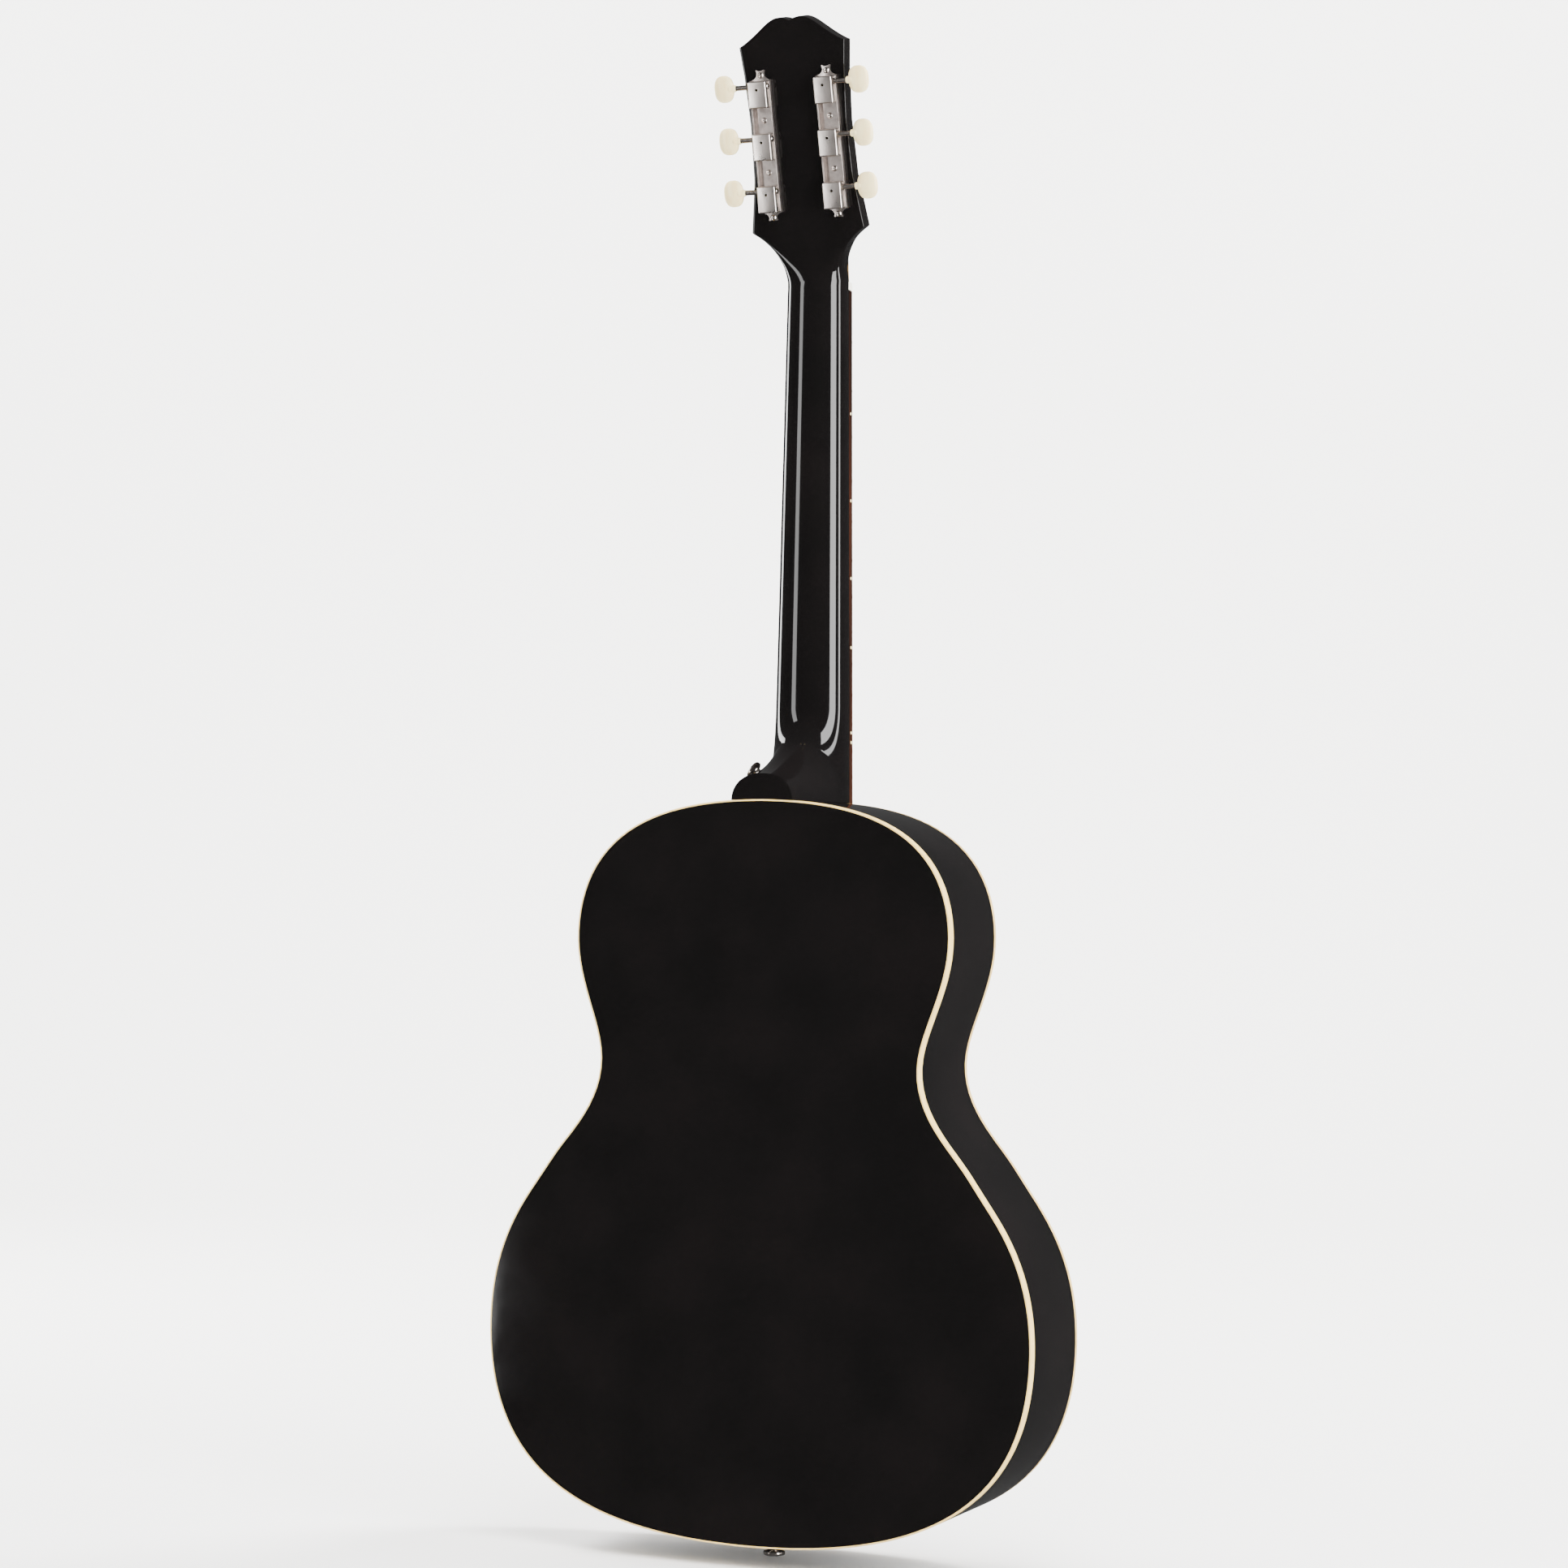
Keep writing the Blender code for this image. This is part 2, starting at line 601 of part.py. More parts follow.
def make_bracing():
    """X braces with their plate, bar, ties and tone bars; the back's bars on a centre strip."""
    crossing = (0, SOUNDHOLE - SOUNDHOLE_RADIUS - X_BELOW_HOLE)
    right_up = math.pi / 2 - X_BRACE_HALF_ANGLE
    top = place("top_bracing", edge_brace(crossing, right_up, under_top(0), 1), SPRUCE, 0.7)
    other = place("other_x", edge_brace(crossing, math.pi - right_up, under_top(1), 1), SPRUCE)
    plate_half = BRIDGE_MIDDLE_HALF + BRIDGE_PLATE_OVERHANG
    glued = FRONT + UNDER_TOP
    plate = place("bridge_plate", block(
        (-plate_half, glued + 2 * GLUE_LINE, PIN_LINE - BRIDGE_PLATE_BELOW_PINS),
        (plate_half, glued + BRIDGE_PLATE_THICKNESS, SADDLE + BRIDGE_PLATE_ABOVE_SADDLE)), MAHOGANY)
    above = SOUNDHOLE + SOUNDHOLE_RADIUS + SHOULDER_BRACE_ABOVE_HOLE
    shelf = place("shoulder_brace", edge_brace((0, above), 0, under_top(3), 1), SPRUCE)
    joins = [other, plate, shelf]
    tie_place = run_to_edge(*crossing, right_up, CLEAR_OF_LINING) * 0.83     # along each arm of the X
    for side in (-1, 1):
        foot = (side * math.cos(right_up) * tie_place, crossing[1] + math.sin(right_up) * tie_place)
        joins.append(place("tie", brace(foot, math.pi / 2, above - foot[1], under_top(4), 1,
                                        end_height=TIE_END_HEIGHT, height=TIE_HEIGHT), SPRUCE))
    leg = run_to_edge(*crossing, math.pi + right_up, CLEAR_OF_LINING)
    for share in (0.30, 0.62):
        start = (-math.cos(right_up) * leg * share, crossing[1] - math.sin(right_up) * leg * share)
        length = run_to_edge(*start, -TONE_BAR_ANGLE, CLEAR_OF_LINING + BRACE_WIDTH)
        joins.append(place("tone_bar", brace(start, -TONE_BAR_ANGLE, length, under_top(5), 1,
                                             height=TONE_BAR_HEIGHT), SPRUCE))
    join(top, *joins)

    lowest = TAIL + BODY_LENGTH * 0.16
    step = BODY_LENGTH * 0.68 / (BACK_BRACE_COUNT - 1)
    bars = [place("back_bar", edge_brace((0, lowest + step * k), 0, under_back(1), -1, stations=9), SPRUCE)
            for k in range(BACK_BRACE_COUNT)]
    low = TAIL + TAIL_BLOCK_LENGTH + CENTRE_STRIP_CLEARANCE
    high = SHOULDER - NECK_BLOCK_LENGTH - CENTRE_STRIP_CLEARANCE
    strip = place("back_bracing", brace((0, low), math.pi / 2, high - low, under_back(0), -1,
                                        width=CENTRE_STRIP_WIDTH, height=CENTRE_STRIP_HEIGHT,
                                        end_height=CENTRE_STRIP_HEIGHT * 0.8), SPRUCE, 0.7)
    join(strip, *bars)
    return top


# ---- bridge and strings' course ------------------------------------------------------
def string_x(number, spacing):
    """Lateral place of string 1 (highest, treble) to 6 (lowest)."""
    return ((STRING_COUNT + 1) / 2 - number) * spacing


def string_radius(number):
    """Radius of a string, growing evenly from the first to the sixth."""
    share = (number - 1) / (STRING_COUNT - 1)
    return HIGH_STRING_RADIUS + (LOW_STRING_RADIUS - HIGH_STRING_RADIUS) * share


def crown(x, radius=FINGERBOARD_RADIUS):
    """Drop of a round top from its middle."""
    return x * x / (2 * radius)


def board_top(x, half):
    """Fingerboard's surface above the soundboard's plane, where it is half wide."""
    return FINGERBOARD_EDGE + crown(half) - crown(x)


def half_width(z):
    """Half the neck's width at a height."""
    return NUT_WIDTH / 2 + (NUT - z) * NECK_TAPER / 2


def bridge_section(x, height, half_low, half_high):
    """Section of the bridge at x, with its long edges eased."""
    low, high = SADDLE - half_low, SADDLE + half_high
    soft = min(0.002, height * 0.4)
    base = FRONT - GAP
    return [(x, base, low), (x, base - height + soft, low), (x, base - height, low + soft),
            (x, base - height, high - soft), (x, base - height + soft, high), (x, base, high)]


def make_bridge(soundboard, top_bracing):
    """Bridge with scooped wings, its saddle, and the pins with their bores through the top."""
    ramp = BRIDGE_MIDDLE_HALF + BRIDGE_SCOOP
    left = [(-BRIDGE_HALF_LENGTH, BRIDGE_END_HEIGHT), (-BRIDGE_HALF_LENGTH + 0.006, BRIDGE_WING_HEIGHT),
            (-ramp, BRIDGE_WING_HEIGHT * 1.2), (-ramp + BRIDGE_SCOOP * 0.9, BRIDGE_HEIGHT * 0.9),
            (-ramp + BRIDGE_SCOOP * 1.6, BRIDGE_HEIGHT)]
    stations = left + [(-x, height) for x, height in left[::-1]]
    rings = [bridge_section(x, height, BRIDGE_BELOW_SADDLE, BRIDGE_ABOVE_SADDLE) for x, height in stations]
    bridge = place("bridge", loft(rings), ROSEWOOD, 0.5)
    turn = (Matrix.Translation((0, FRONT, SADDLE)) @ Matrix.Rotation(SADDLE_TURN, 4, "Y"))
    base = -GAP - BRIDGE_HEIGHT + SADDLE_SEAT
    half, thick = SADDLE_HALF_LENGTH, SADDLE_THICKNESS / 2
    slot = place("saddle_slot", block((-half - GAP, -0.05, -thick - GAP),
                                      (half + GAP, base + GAP, thick + GAP)), CREAM, matrix=turn)
    cut(bridge, as_cutter(slot))
    steps = np.linspace(-half, half, 9)
    saddle_top = [(x, -STRING_RISE_AT_SADDLE + crown(x) + HIGH_STRING_RADIUS) for x in steps]
    rings = [[(x, y, z) for x, y in [(half, base), (-half, base)] + saddle_top] for z in (-thick, thick)]
    place("saddle", loft(rings), CREAM, 0.4, matrix=turn)
    depth = BRIDGE_HEIGHT + TOP_THICKNESS + BRIDGE_PLATE_THICKNESS + 0.01
    for number in range(1, STRING_COUNT + 1):
        x = string_x(number, BRIDGE_STRING_SPACING)
        room = as_cutter(place(f"pin_bore_{number}", rod(PIN_RADIUS + 2 * GAP, -0.03, depth, "Y", sides=12),
                               CREAM, matrix=Matrix.Translation((x, FRONT, PIN_LINE))))
        for piece in (bridge, soundboard, top_bracing):
            cut(piece, room)
        make_pin(number, x)


def make_pin(number, x):
    """Tapered bridge pin with a round head and a flute for its string."""
    seat = BRIDGE_HEIGHT + GAP * 2
    profile = [(0, PIN_HEAD_HEIGHT), (PIN_HEAD_RADIUS * 0.62, PIN_HEAD_HEIGHT * 0.86),
               (PIN_HEAD_RADIUS, PIN_HEAD_HEIGHT * 0.45), (PIN_HEAD_RADIUS * 0.8, 0.0006),
               (PIN_RADIUS, 0.0002), (PIN_RADIUS * 0.86, -PIN_LENGTH), (0, -PIN_LENGTH - 0.0008)]
    home = Matrix.Translation((x, FRONT - seat, PIN_LINE)) @ Matrix.Rotation(math.pi / 2, 4, "X")
    pin = turned(f"bridge_pin_{number}", profile, CREAM, 0.3, 0, home, steps=10)
    low, high = PIN_RADIUS - PIN_FLUTE_DEPTH, PIN_RADIUS + 0.01
    wide = LOW_STRING_RADIUS + GAP * 1.5
    flute = place(f"pin_flute_{number}", block((-wide, low, -PIN_LENGTH - 0.01), (wide, high, 0.0018)),
                  CREAM, matrix=home)
    cut(pin, as_cutter(flute))


# ---- neck, fingerboard and headstock -------------------------------------------------
def neck_ring(base, back, half, count=13):
    """Section of the neck: straight through base, half wide each way, and round out to back."""
    base, back = np.array(base), np.array(back)
    ring = []
    for k in range(count):
        angle = math.pi * k / (count - 1)
        c, s = math.cos(angle), max(0.0, math.sin(angle))
        y, z = base + (back - base) * s ** 0.85
        ring.append((half * math.copysign(abs(c) ** 0.9, c), y, z))
    return ring


def heel_rings(sweep_start, front, steps=14, corner=5):
    """Sections that turn from the neck's back to the heel cap.

    Their straight side runs down the front to the body, turns the corner there, and
    follows the body to the cap.
    """
    foot, cap = SHOULDER - PARED_OFF, back_at(0, SHOULDER)
    start = np.array(sweep_start)
    curve = bezier(start, start + (0.0015, -HEEL_CURVE_HEIGHT * 0.35),
                   np.array([FRONT + SHOULDER_DEPTH * 0.52, SHOULDER + HEEL_CAP_HEIGHT * 1.32]),
                   np.array([cap, SHOULDER + HEEL_CAP_HEIGHT]), steps)
    curve = list(curve[1:]) + [np.array([cap, SHOULDER + HEEL_CAP_HEIGHT])]
    rings = []
    for k, back in enumerate(curve, 1):
        if k <= corner:
            base = (front, start[1] + (foot - start[1]) * k / corner)
            half = half_width(base[1])
        else:
            share = (k - corner) / (steps - corner)
            base = (front + (cap - front) * share, foot)
            half = half_width(SHOULDER) + (HEEL_CAP_HALF_WIDTH - half_width(SHOULDER)) * share
        rings.append(neck_ring(base, back, half))
    return rings


def head_outline():
    """Headstock's outline in its own X and Z, both halves."""
    sides = EAR_HEIGHT + HEAD_SIDE_HEIGHT
    foot = half_width(HEAD_FOOT)
    flare = [(foot, -0.004), (foot, 0.002), (foot + 0.0006, 0.009),
             (foot + (EAR_HALF - foot) * 0.20, EAR_HEIGHT * 0.50),
             (foot + (EAR_HALF - foot) * 0.55, EAR_HEIGHT * 0.77), (EAR_HALF, EAR_HEIGHT)]
    side = [(HEAD_WAIST_HALF + 0.0012, EAR_HEIGHT + HEAD_SIDE_HEIGHT * 0.28),
            (HEAD_WAIST_HALF, EAR_HEIGHT + HEAD_SIDE_HEIGHT * 0.58),
            (HEAD_TOP_HALF - 0.0018, sides - 0.020), (HEAD_TOP_HALF, sides)]
    top = [(HEAD_TOP_HALF * 0.89, sides + CREST_HEIGHT * 0.11),
           (HEAD_TOP_HALF * 0.68, sides + CREST_HEIGHT * 0.41),
           (HEAD_TOP_HALF * 0.47, sides + CREST_HEIGHT * 0.76),
           (HEAD_TOP_HALF * 0.33, sides + CREST_HEIGHT * 0.94),
           (HEAD_TOP_HALF * 0.22, sides + CREST_HEIGHT),
           (HEAD_TOP_HALF * 0.12, sides + CREST_HEIGHT * 0.97)]
    half = flare + side + top
    return half + [(0, sides + CREST_HEIGHT * 0.86)] + [(-x, z) for x, z in half[::-1]]


def make_neck():
    """Shaft, heel, tenon and headstock in one piece of wood, planed flat along the front."""
    sweep, proud, tip = SHOULDER + HEEL_CURVE_HEIGHT, FRONT - PLANED_OFF, HEAD_FOOT + NECK_INTO_HEAD
    rings = [neck_ring((proud, tip), (FRONT + NECK_DEPTH_AT_NUT * 0.95, tip),
                       half_width(NUT + NUT_THICKNESS))]
    for z in np.linspace(NUT, sweep, 8):
        share = (NUT - z) / (NUT - SHOULDER)
        depth = NECK_DEPTH_AT_NUT + (NECK_DEPTH_AT_HEEL - NECK_DEPTH_AT_NUT) * share
        rings.append(neck_ring((proud, z), (FRONT + depth, z), half_width(z)))
    neck = place("neck", loft(rings + heel_rings((FRONT + depth, sweep), proud)), BLACK, 0.12)
    body = place("body_room", flat([inset(-GAP)], FRONT - 0.02, FRONT + TAIL_DEPTH + 0.02), BLACK)
    cut(neck, as_cutter(body))
    tenon = place("tenon", block(
        (-TENON_HALF_WIDTH, FRONT + TENON_FRONT, SHOULDER - TENON_LENGTH),
        (TENON_HALF_WIDTH, FRONT + SHOULDER_DEPTH * TENON_DEPTH_SHARE, SHOULDER + 0.004)), MAHOGANY)
    head = place("head", flat([head_outline()], -PLANED_OFF, HEAD_THICKNESS), BLACK, matrix=HEAD)
    join(neck, tenon, head)

    wide, clear = EAR_HALF * 1.5, 0.03
    face = place("head_face", block((-wide, -clear, -clear), (wide, 0, EAR_HEIGHT + HEAD_SIDE_HEIGHT * 1.5)),
                 BLACK, matrix=HEAD)
    front = place("neck_front", block((-wide, FRONT - clear, SHOULDER - clear),
                                      (wide, FRONT, HEAD_FOOT + clear)), BLACK)
    cut(neck, as_cutter(face), as_cutter(front))
    return neck


def make_truss_rod(neck):
    """Adjustable rod in a channel under the fingerboard, its nut in a pocket in the headstock."""
    half, deep, axis = TRUSS_ROD_WIDTH / 2, TRUSS_ROD_DEPTH, FRONT + ROD_AXIS_DEPTH
    low, high = SHOULDER + ROD_PAST_SHOULDER, NUT + ROD_PAST_SHOULDER
    end, clear = high + ROD_POCKET_LENGTH, FRONT - 0.02
    on_axis = Matrix.Translation((0, axis, 0))
    channel = place("rod_channel", block((-half, clear, low), (half, FRONT + deep, high + 0.002)), BLACK)
    pocket = place("rod_pocket", rod(ROD_POCKET_RADIUS, high - 0.002, end), BLACK, matrix=on_axis)
    side = ROD_POCKET_RADIUS * 0.94
    mouth = place("rod_mouth", block((-side, clear, high + 0.004), (side, axis, end - 2 * GAP)), BLACK)
    cut(neck, as_cutter(channel), as_cutter(pocket), as_cutter(mouth))
    bar = place("truss_rod", block((-half + GAP, FRONT + GAP, low + GAP),
                                   (half - GAP, FRONT + deep - GAP, high)), STEEL, 0.4, 1.0)
    foot = high + 0.0035
    thread = place("rod_thread", rod(ROD_THREAD_RADIUS, high - 0.001, foot + ROD_NUT_LENGTH + 0.0005,
                                     sides=12), STEEL, matrix=on_axis)
    join(bar, thread)
    nut = flat([circle(0, 0, ROD_NUT_RADIUS, 6), circle(0, 0, ROD_THREAD_RADIUS + GAP, 12)],
               foot, foot + ROD_NUT_LENGTH)
    place("truss_rod_nut", nut, BRASS, 0.35, 1.0, matrix=on_axis @ Matrix.Rotation(math.pi / 2, 4, "X"))


def make_rod_cover():
    """Bell-shaped cover over the rod's nut, on the headstock's face."""
    # shares of the half width and of the length, from the foot to the tip
    bell = [(0.94, 0.05), (1.0, 0.22), (0.76, 0.47), (0.55, 0.73), (0.375, 0.91)]
    side = [(x * ROD_COVER_HALF, z * ROD_COVER_LENGTH) for x, z in bell]
    outline = side + [(0, ROD_COVER_LENGTH)] + [(-x, z) for x, z in side[::-1]]
    place("truss_rod_cover", flat([outline], -ROD_COVER_THICKNESS - GAP, -GAP), BLACK, 0.3, matrix=HEAD)


def board_section(z, count=5):
    """Section of the fingerboard: flat below, round above."""
    half = half_width(z)
    bottom = [(-half, FRONT - GAP, z), (half, FRONT - GAP, z)]
    return bottom + [(x, FRONT - board_top(x, half), z) for x in np.linspace(half, -half, count)]


def fret_sections(z, count=5):
    """Sections of a fret that follows the fingerboard's round top."""
    half, wide = half_width(z), FRET_WIDTH / 2
    rings = []
    for x in np.linspace(-half + FRET_SETBACK, half - FRET_SETBACK, count):
        y = FRONT - board_top(x, half)
        rings.append([(x, y + FRET_SINK, z - wide), (x, y + FRET_SINK, z + wide),
                      (x, y - FRET_HEIGHT, z + wide * 0.4), (x, y - FRET_HEIGHT, z - wide * 0.4)])
    return rings


def make_fingerboard():
    """Radiused board with its frets, which sit in it as one piece, and the nut."""
    board = place("fingerboard", loft([board_section(BOARD_END), board_section(NUT - GAP)]), ROSEWOOD, 0.45)
    for number in range(1, FRET_COUNT + 1):
        fret = loft(fret_sections(NUT - fret_distance(number)))
        join(board, place(f"fret_{number}", fret, NICKEL, 0.3, 1.0))

    half, wide = NUT_WIDTH / 2, NUT_WIDTH / 2 - GAP
    rise = NUT_STRING_RISE - GAP
    rings = []
    for z, lift in ((NUT + GAP, rise), (NUT + NUT_THICKNESS, rise - NUT_SLOPE)):
        rings.append([(-wide, FRONT - GAP, z), (wide, FRONT - GAP, z)]
                     + [(x, FRONT - board_top(x, half) - lift, z) for x in np.linspace(wide, -wide, 7)])
    place("nut", loft(rings), BONE, 0.35)


# ---- tuning machines -----------------------------------------------------------------
def machine_place(side, row):
    """Middle of one machine in the headstock's frame."""
    return Vector((side * TUNER_COLUMN, 0, COVER_HEIGHTS[row]))


def make_plate(side):
    """Channel plate for three machines, with a waisted tab at each end."""
    name = "tuner_plate_treble" if side > 0 else "tuner_plate_bass"
    half = PLATE_WIDTH / 2
    shoulder = COVER_LENGTH / 2 + PLATE_OVERRUN - PLATE_TAB_START
    low, high = COVER_HEIGHTS[0] - shoulder, COVER_HEIGHTS[-1] + shoulder
    sheet = half - PLATE_THICKNESS / 2             # the flat sheet ends inside its flanges
    tab = [(half * 0.8, 0.06), (half * 0.42, 0.35), (half * 0.36, 0.62), (half * 0.45, 1.0)]
    right = [(sheet, low), (sheet, high)] + [(x, high + share * PLATE_TAB) for x, share in tab]
    left = [(-x, z) for x, z in right[::-1]]
    foot = [(x, low - share * PLATE_TAB) for x, share in tab]
    foot = [(-x, z) for x, z in foot] + [(0, low - PLATE_TAB * 0.8)] + foot[::-1]
    base = HEAD_THICKNESS + GAP
    shift = HEAD @ Matrix.Translation((side * TUNER_COLUMN, 0, 0))
    outline = right + [(0, high + PLATE_TAB * 0.8)] + left + foot
    plate = place(name, flat([outline], base, PLATE_FACE), NICKEL, 0.3, 1.0, shift)
    for edge in (-1, 1):
        near, far = sorted((edge * half, edge * (half - PLATE_THICKNESS)))
        wall = block((near, base + 0.0002, low - 0.0001), (far, PLATE_FACE + PLATE_FLANGE, high + 0.0001))
        join(plate, place("flange", wall, NICKEL, matrix=shift))
    for z in COVER_HEIGHTS:
        notch = place("shaft_notch", rod(KEY_SHAFT_RADIUS + GAP, -half - 0.002, half + 0.002, "X", sides=10),
                      NICKEL, matrix=shift @ Matrix.Translation((0, SHAFT_LEVEL, z + WORM_OFFSET)))
        hole = place("post_passage", rod(POST_RADIUS + GAP, 0, PLATE_FACE + 0.001, "Y", sides=10),
                     NICKEL, matrix=shift @ Matrix.Translation((0, 0, z + POST_OFFSET)))
        cut(plate, as_cutter(notch), as_cutter(hole))


def make_cover(number, side, row):
    """Stamped cover over a worm and its gear, open below and where the shaft leaves."""
    home = HEAD @ Matrix.Translation(machine_place(side, row))
    x, z, wall = COVER_WIDTH / 2, COVER_LENGTH / 2, COVER_WALL
    low, high = PLATE_FACE + GAP, PLATE_FACE + COVER_HEIGHT
    cover = place(f"tuner_cover_{number}", block((-x, low, -z), (x, high, z)), NICKEL, 0.2, 1.0, home)
    hollow = place("hollow", block((-x + wall, low - 0.004, -z + wall), (x - wall, high - wall, z - wall)),
                   NICKEL, matrix=home)
    gap = KEY_SHAFT_RADIUS + GAP
    outlet = place("outlet", block((-x - 0.001, low - 0.004, WORM_OFFSET - gap),
                                   (x + 0.001, SHAFT_LEVEL + gap, WORM_OFFSET + gap)), NICKEL, matrix=home)
    oil = place("oil_hole", rod(OIL_HOLE_RADIUS, high - 0.002, high + 0.002, "Y", sides=8), NICKEL,
                matrix=home @ Matrix.Translation((0, 0, OIL_HOLE_OFFSET)))
    cut(cover, as_cutter(hollow), as_cutter(outlet), as_cutter(oil))


def worm_thread(gear_side):
    """Thread of the worm along X, whose middle faces the gear and whose ends sink into the shaft."""
    turns, per_turn = WORM_TURNS, 8
    count = int(turns * per_turn)
    root = WORM_MEAN_RADIUS - TOOTH_HEIGHT * 0.62
    tip = WORM_MEAN_RADIUS + TOOTH_HEIGHT * 0.42
    sunk, foot = root - 0.0004, WORM_PITCH * 0.33
    crest = WORM_PITCH * 0.11
    rings = []
    for k in range(count + 1):
        turn = 2 * math.pi * k / per_turn
        along = WORM_PITCH * (k / per_turn - turns / 2)
        fade = min(1.0, k / 3, (count - k) / 3)
        outer = root + (tip - root) * max(0.15, fade)
        ring = []
        for offset, radius in ((-foot, sunk), (foot, sunk), (crest, outer), (-crest, outer)):
            angle = turn - math.pi * turns + gear_side * math.pi / 2
            ring.append((along + offset, radius * math.cos(angle), radius * math.sin(angle)))
        rings.append(ring)
    return loft(rings), root


def make_key(number, side, row, marker):
    """Worm and its shaft, and the button pressed on the shaft's outer end."""
    home = HEAD @ Matrix.Translation(machine_place(side, row) + Vector((0, SHAFT_LEVEL, WORM_OFFSET)))
    if side < 0:
        home = home @ Matrix.Rotation(math.pi, 4, "Y")
    thread, root = worm_thread(-side)
    inner = -PLATE_WIDTH / 2 + PLATE_THICKNESS * 0.2
    reach = BUTTON_CENTRE - TUNER_COLUMN
    start = reach - BUTTON_WIDTH / 2
    tip = start + SHAFT_INTO_BUTTON
    worm = place(f"tuner_worm_{number}", rod(KEY_SHAFT_RADIUS, inner, tip, "X", sides=10),
                 NICKEL, 0.25, 1.0, home)
    span = WORM_PITCH * (WORM_TURNS / 2 + 0.65)
    core = place("worm_core", rod(root, -span, span, "X", sides=8), NICKEL, matrix=home)
    join(worm, core, place("thread", thread, NICKEL, matrix=home))
    knob = bmesh.new()
    bmesh.ops.create_uvsphere(knob, u_segments=12, v_segments=6, radius=0.5)
    bmesh.ops.scale(knob, verts=knob.verts, vec=(BUTTON_WIDTH, BUTTON_THICKNESS, BUTTON_LENGTH))
    bmesh.ops.translate(knob, verts=knob.verts, vec=(reach, 0, 0))
    mesh = bpy.data.meshes.new("button")
    knob.to_mesh(mesh)
    knob.free()
    button = place(f"tuner_button_{number}", mesh, CREAM, 0.3, matrix=home)
    collar = rod(BUTTON_NECK_RADIUS, start - BUTTON_NECK_LENGTH, start + 0.006, "X", sides=10)
    join(button, place("button_neck", collar, CREAM, matrix=home))
    room = place("shaft_room", rod(KEY_SHAFT_RADIUS + PRESS_FIT, start - 0.004, tip + PRESS_FIT, "X",
                                   sides=10), CREAM, matrix=home)
    cut(button, as_cutter(room))
    for piece in (worm, button):
        hang(piece, marker)


def gear_outline():
    """Gear teeth that leave the thread its backlash."""
    root = GEAR_MEAN_RADIUS - TOOTH_HEIGHT * 0.55
    tip = GEAR_MEAN_RADIUS + TOOTH_HEIGHT * 0.38
    pitch_angle = 2 * math.pi / GEAR_TEETH
    foot = pitch_angle * 0.27 - TOOTH_BACKLASH / 2 / root
    crest = pitch_angle * 0.09
    points = []
    for tooth in range(GEAR_TEETH):
        middle = tooth * pitch_angle
        for offset, radius in ((-foot, root), (-crest, tip), (crest, tip), (foot, root)):
            points.append((radius * math.sin(middle + offset), radius * math.cos(middle + offset)))
    return points


def make_post(number, side, row, marker, mesh_turn):
    """String post and the gear on its back end."""
    home = HEAD @ Matrix.Translation(machine_place(side, row) + Vector((0, 0, POST_OFFSET)))
    low = -POST_RISE
    high = SHAFT_LEVEL + GEAR_THICKNESS / 2 + 0.0006
    post = place(f"tuner_post_{number}", rod(POST_RADIUS, low, high, "Y", sides=10),
                 NICKEL, 0.25, 1.0, home)
    lean = math.atan(WORM_PITCH / (2 * math.pi * WORM_MEAN_RADIUS))
    twist = GEAR_THICKNESS * math.tan(lean) / GEAR_MEAN_RADIUS
    outline = gear_outline()
    rings = []
    for share in (-0.5, 0.5):
        turn, level = mesh_turn + twist * share, SHAFT_LEVEL + GEAR_THICKNESS * share
        rings.append([(x * math.cos(turn) + z * math.sin(turn), level,
                       z * math.cos(turn) - x * math.sin(turn)) for x, z in outline])
    join(post, place("gear", loft(rings), NICKEL, matrix=home))
    hole = place("string_hole", rod(POST_STRING_HOLE, -0.006, 0.006, "X", sides=6), NICKEL,
                 matrix=home @ Matrix.Translation((0, low + 0.005, 0)))
    cut(post, as_cutter(hole))
    hang(post, marker)


def make_machines(neck):
    """Both rows of machines, and the bores for their posts."""
    for side, numbers in MACHINE_ORDER.items():
        make_plate(side)
        for row, number in enumerate(numbers):
            spot = machine_place(side, row)
            shaft = HEAD @ Matrix.Translation(spot + Vector((0, SHAFT_LEVEL, WORM_OFFSET)))
            upright = HEAD @ Matrix.Translation(spot + Vector((0, 0, POST_OFFSET)))
            make_cover(number, side, row)
            make_key(number, side, row, empty(f"key_axis_{number}", shaft))
            make_post(number, side, row, empty(f"post_axis_{number}", upright), math.pi / GEAR_TEETH)
            bore = place("post_bore", rod(POST_HOLE_RADIUS, -0.02, HEAD_THICKNESS + 0.01, "Y", sides=12),
                         BLACK, matrix=upright)
            cut(neck, as_cutter(bore))


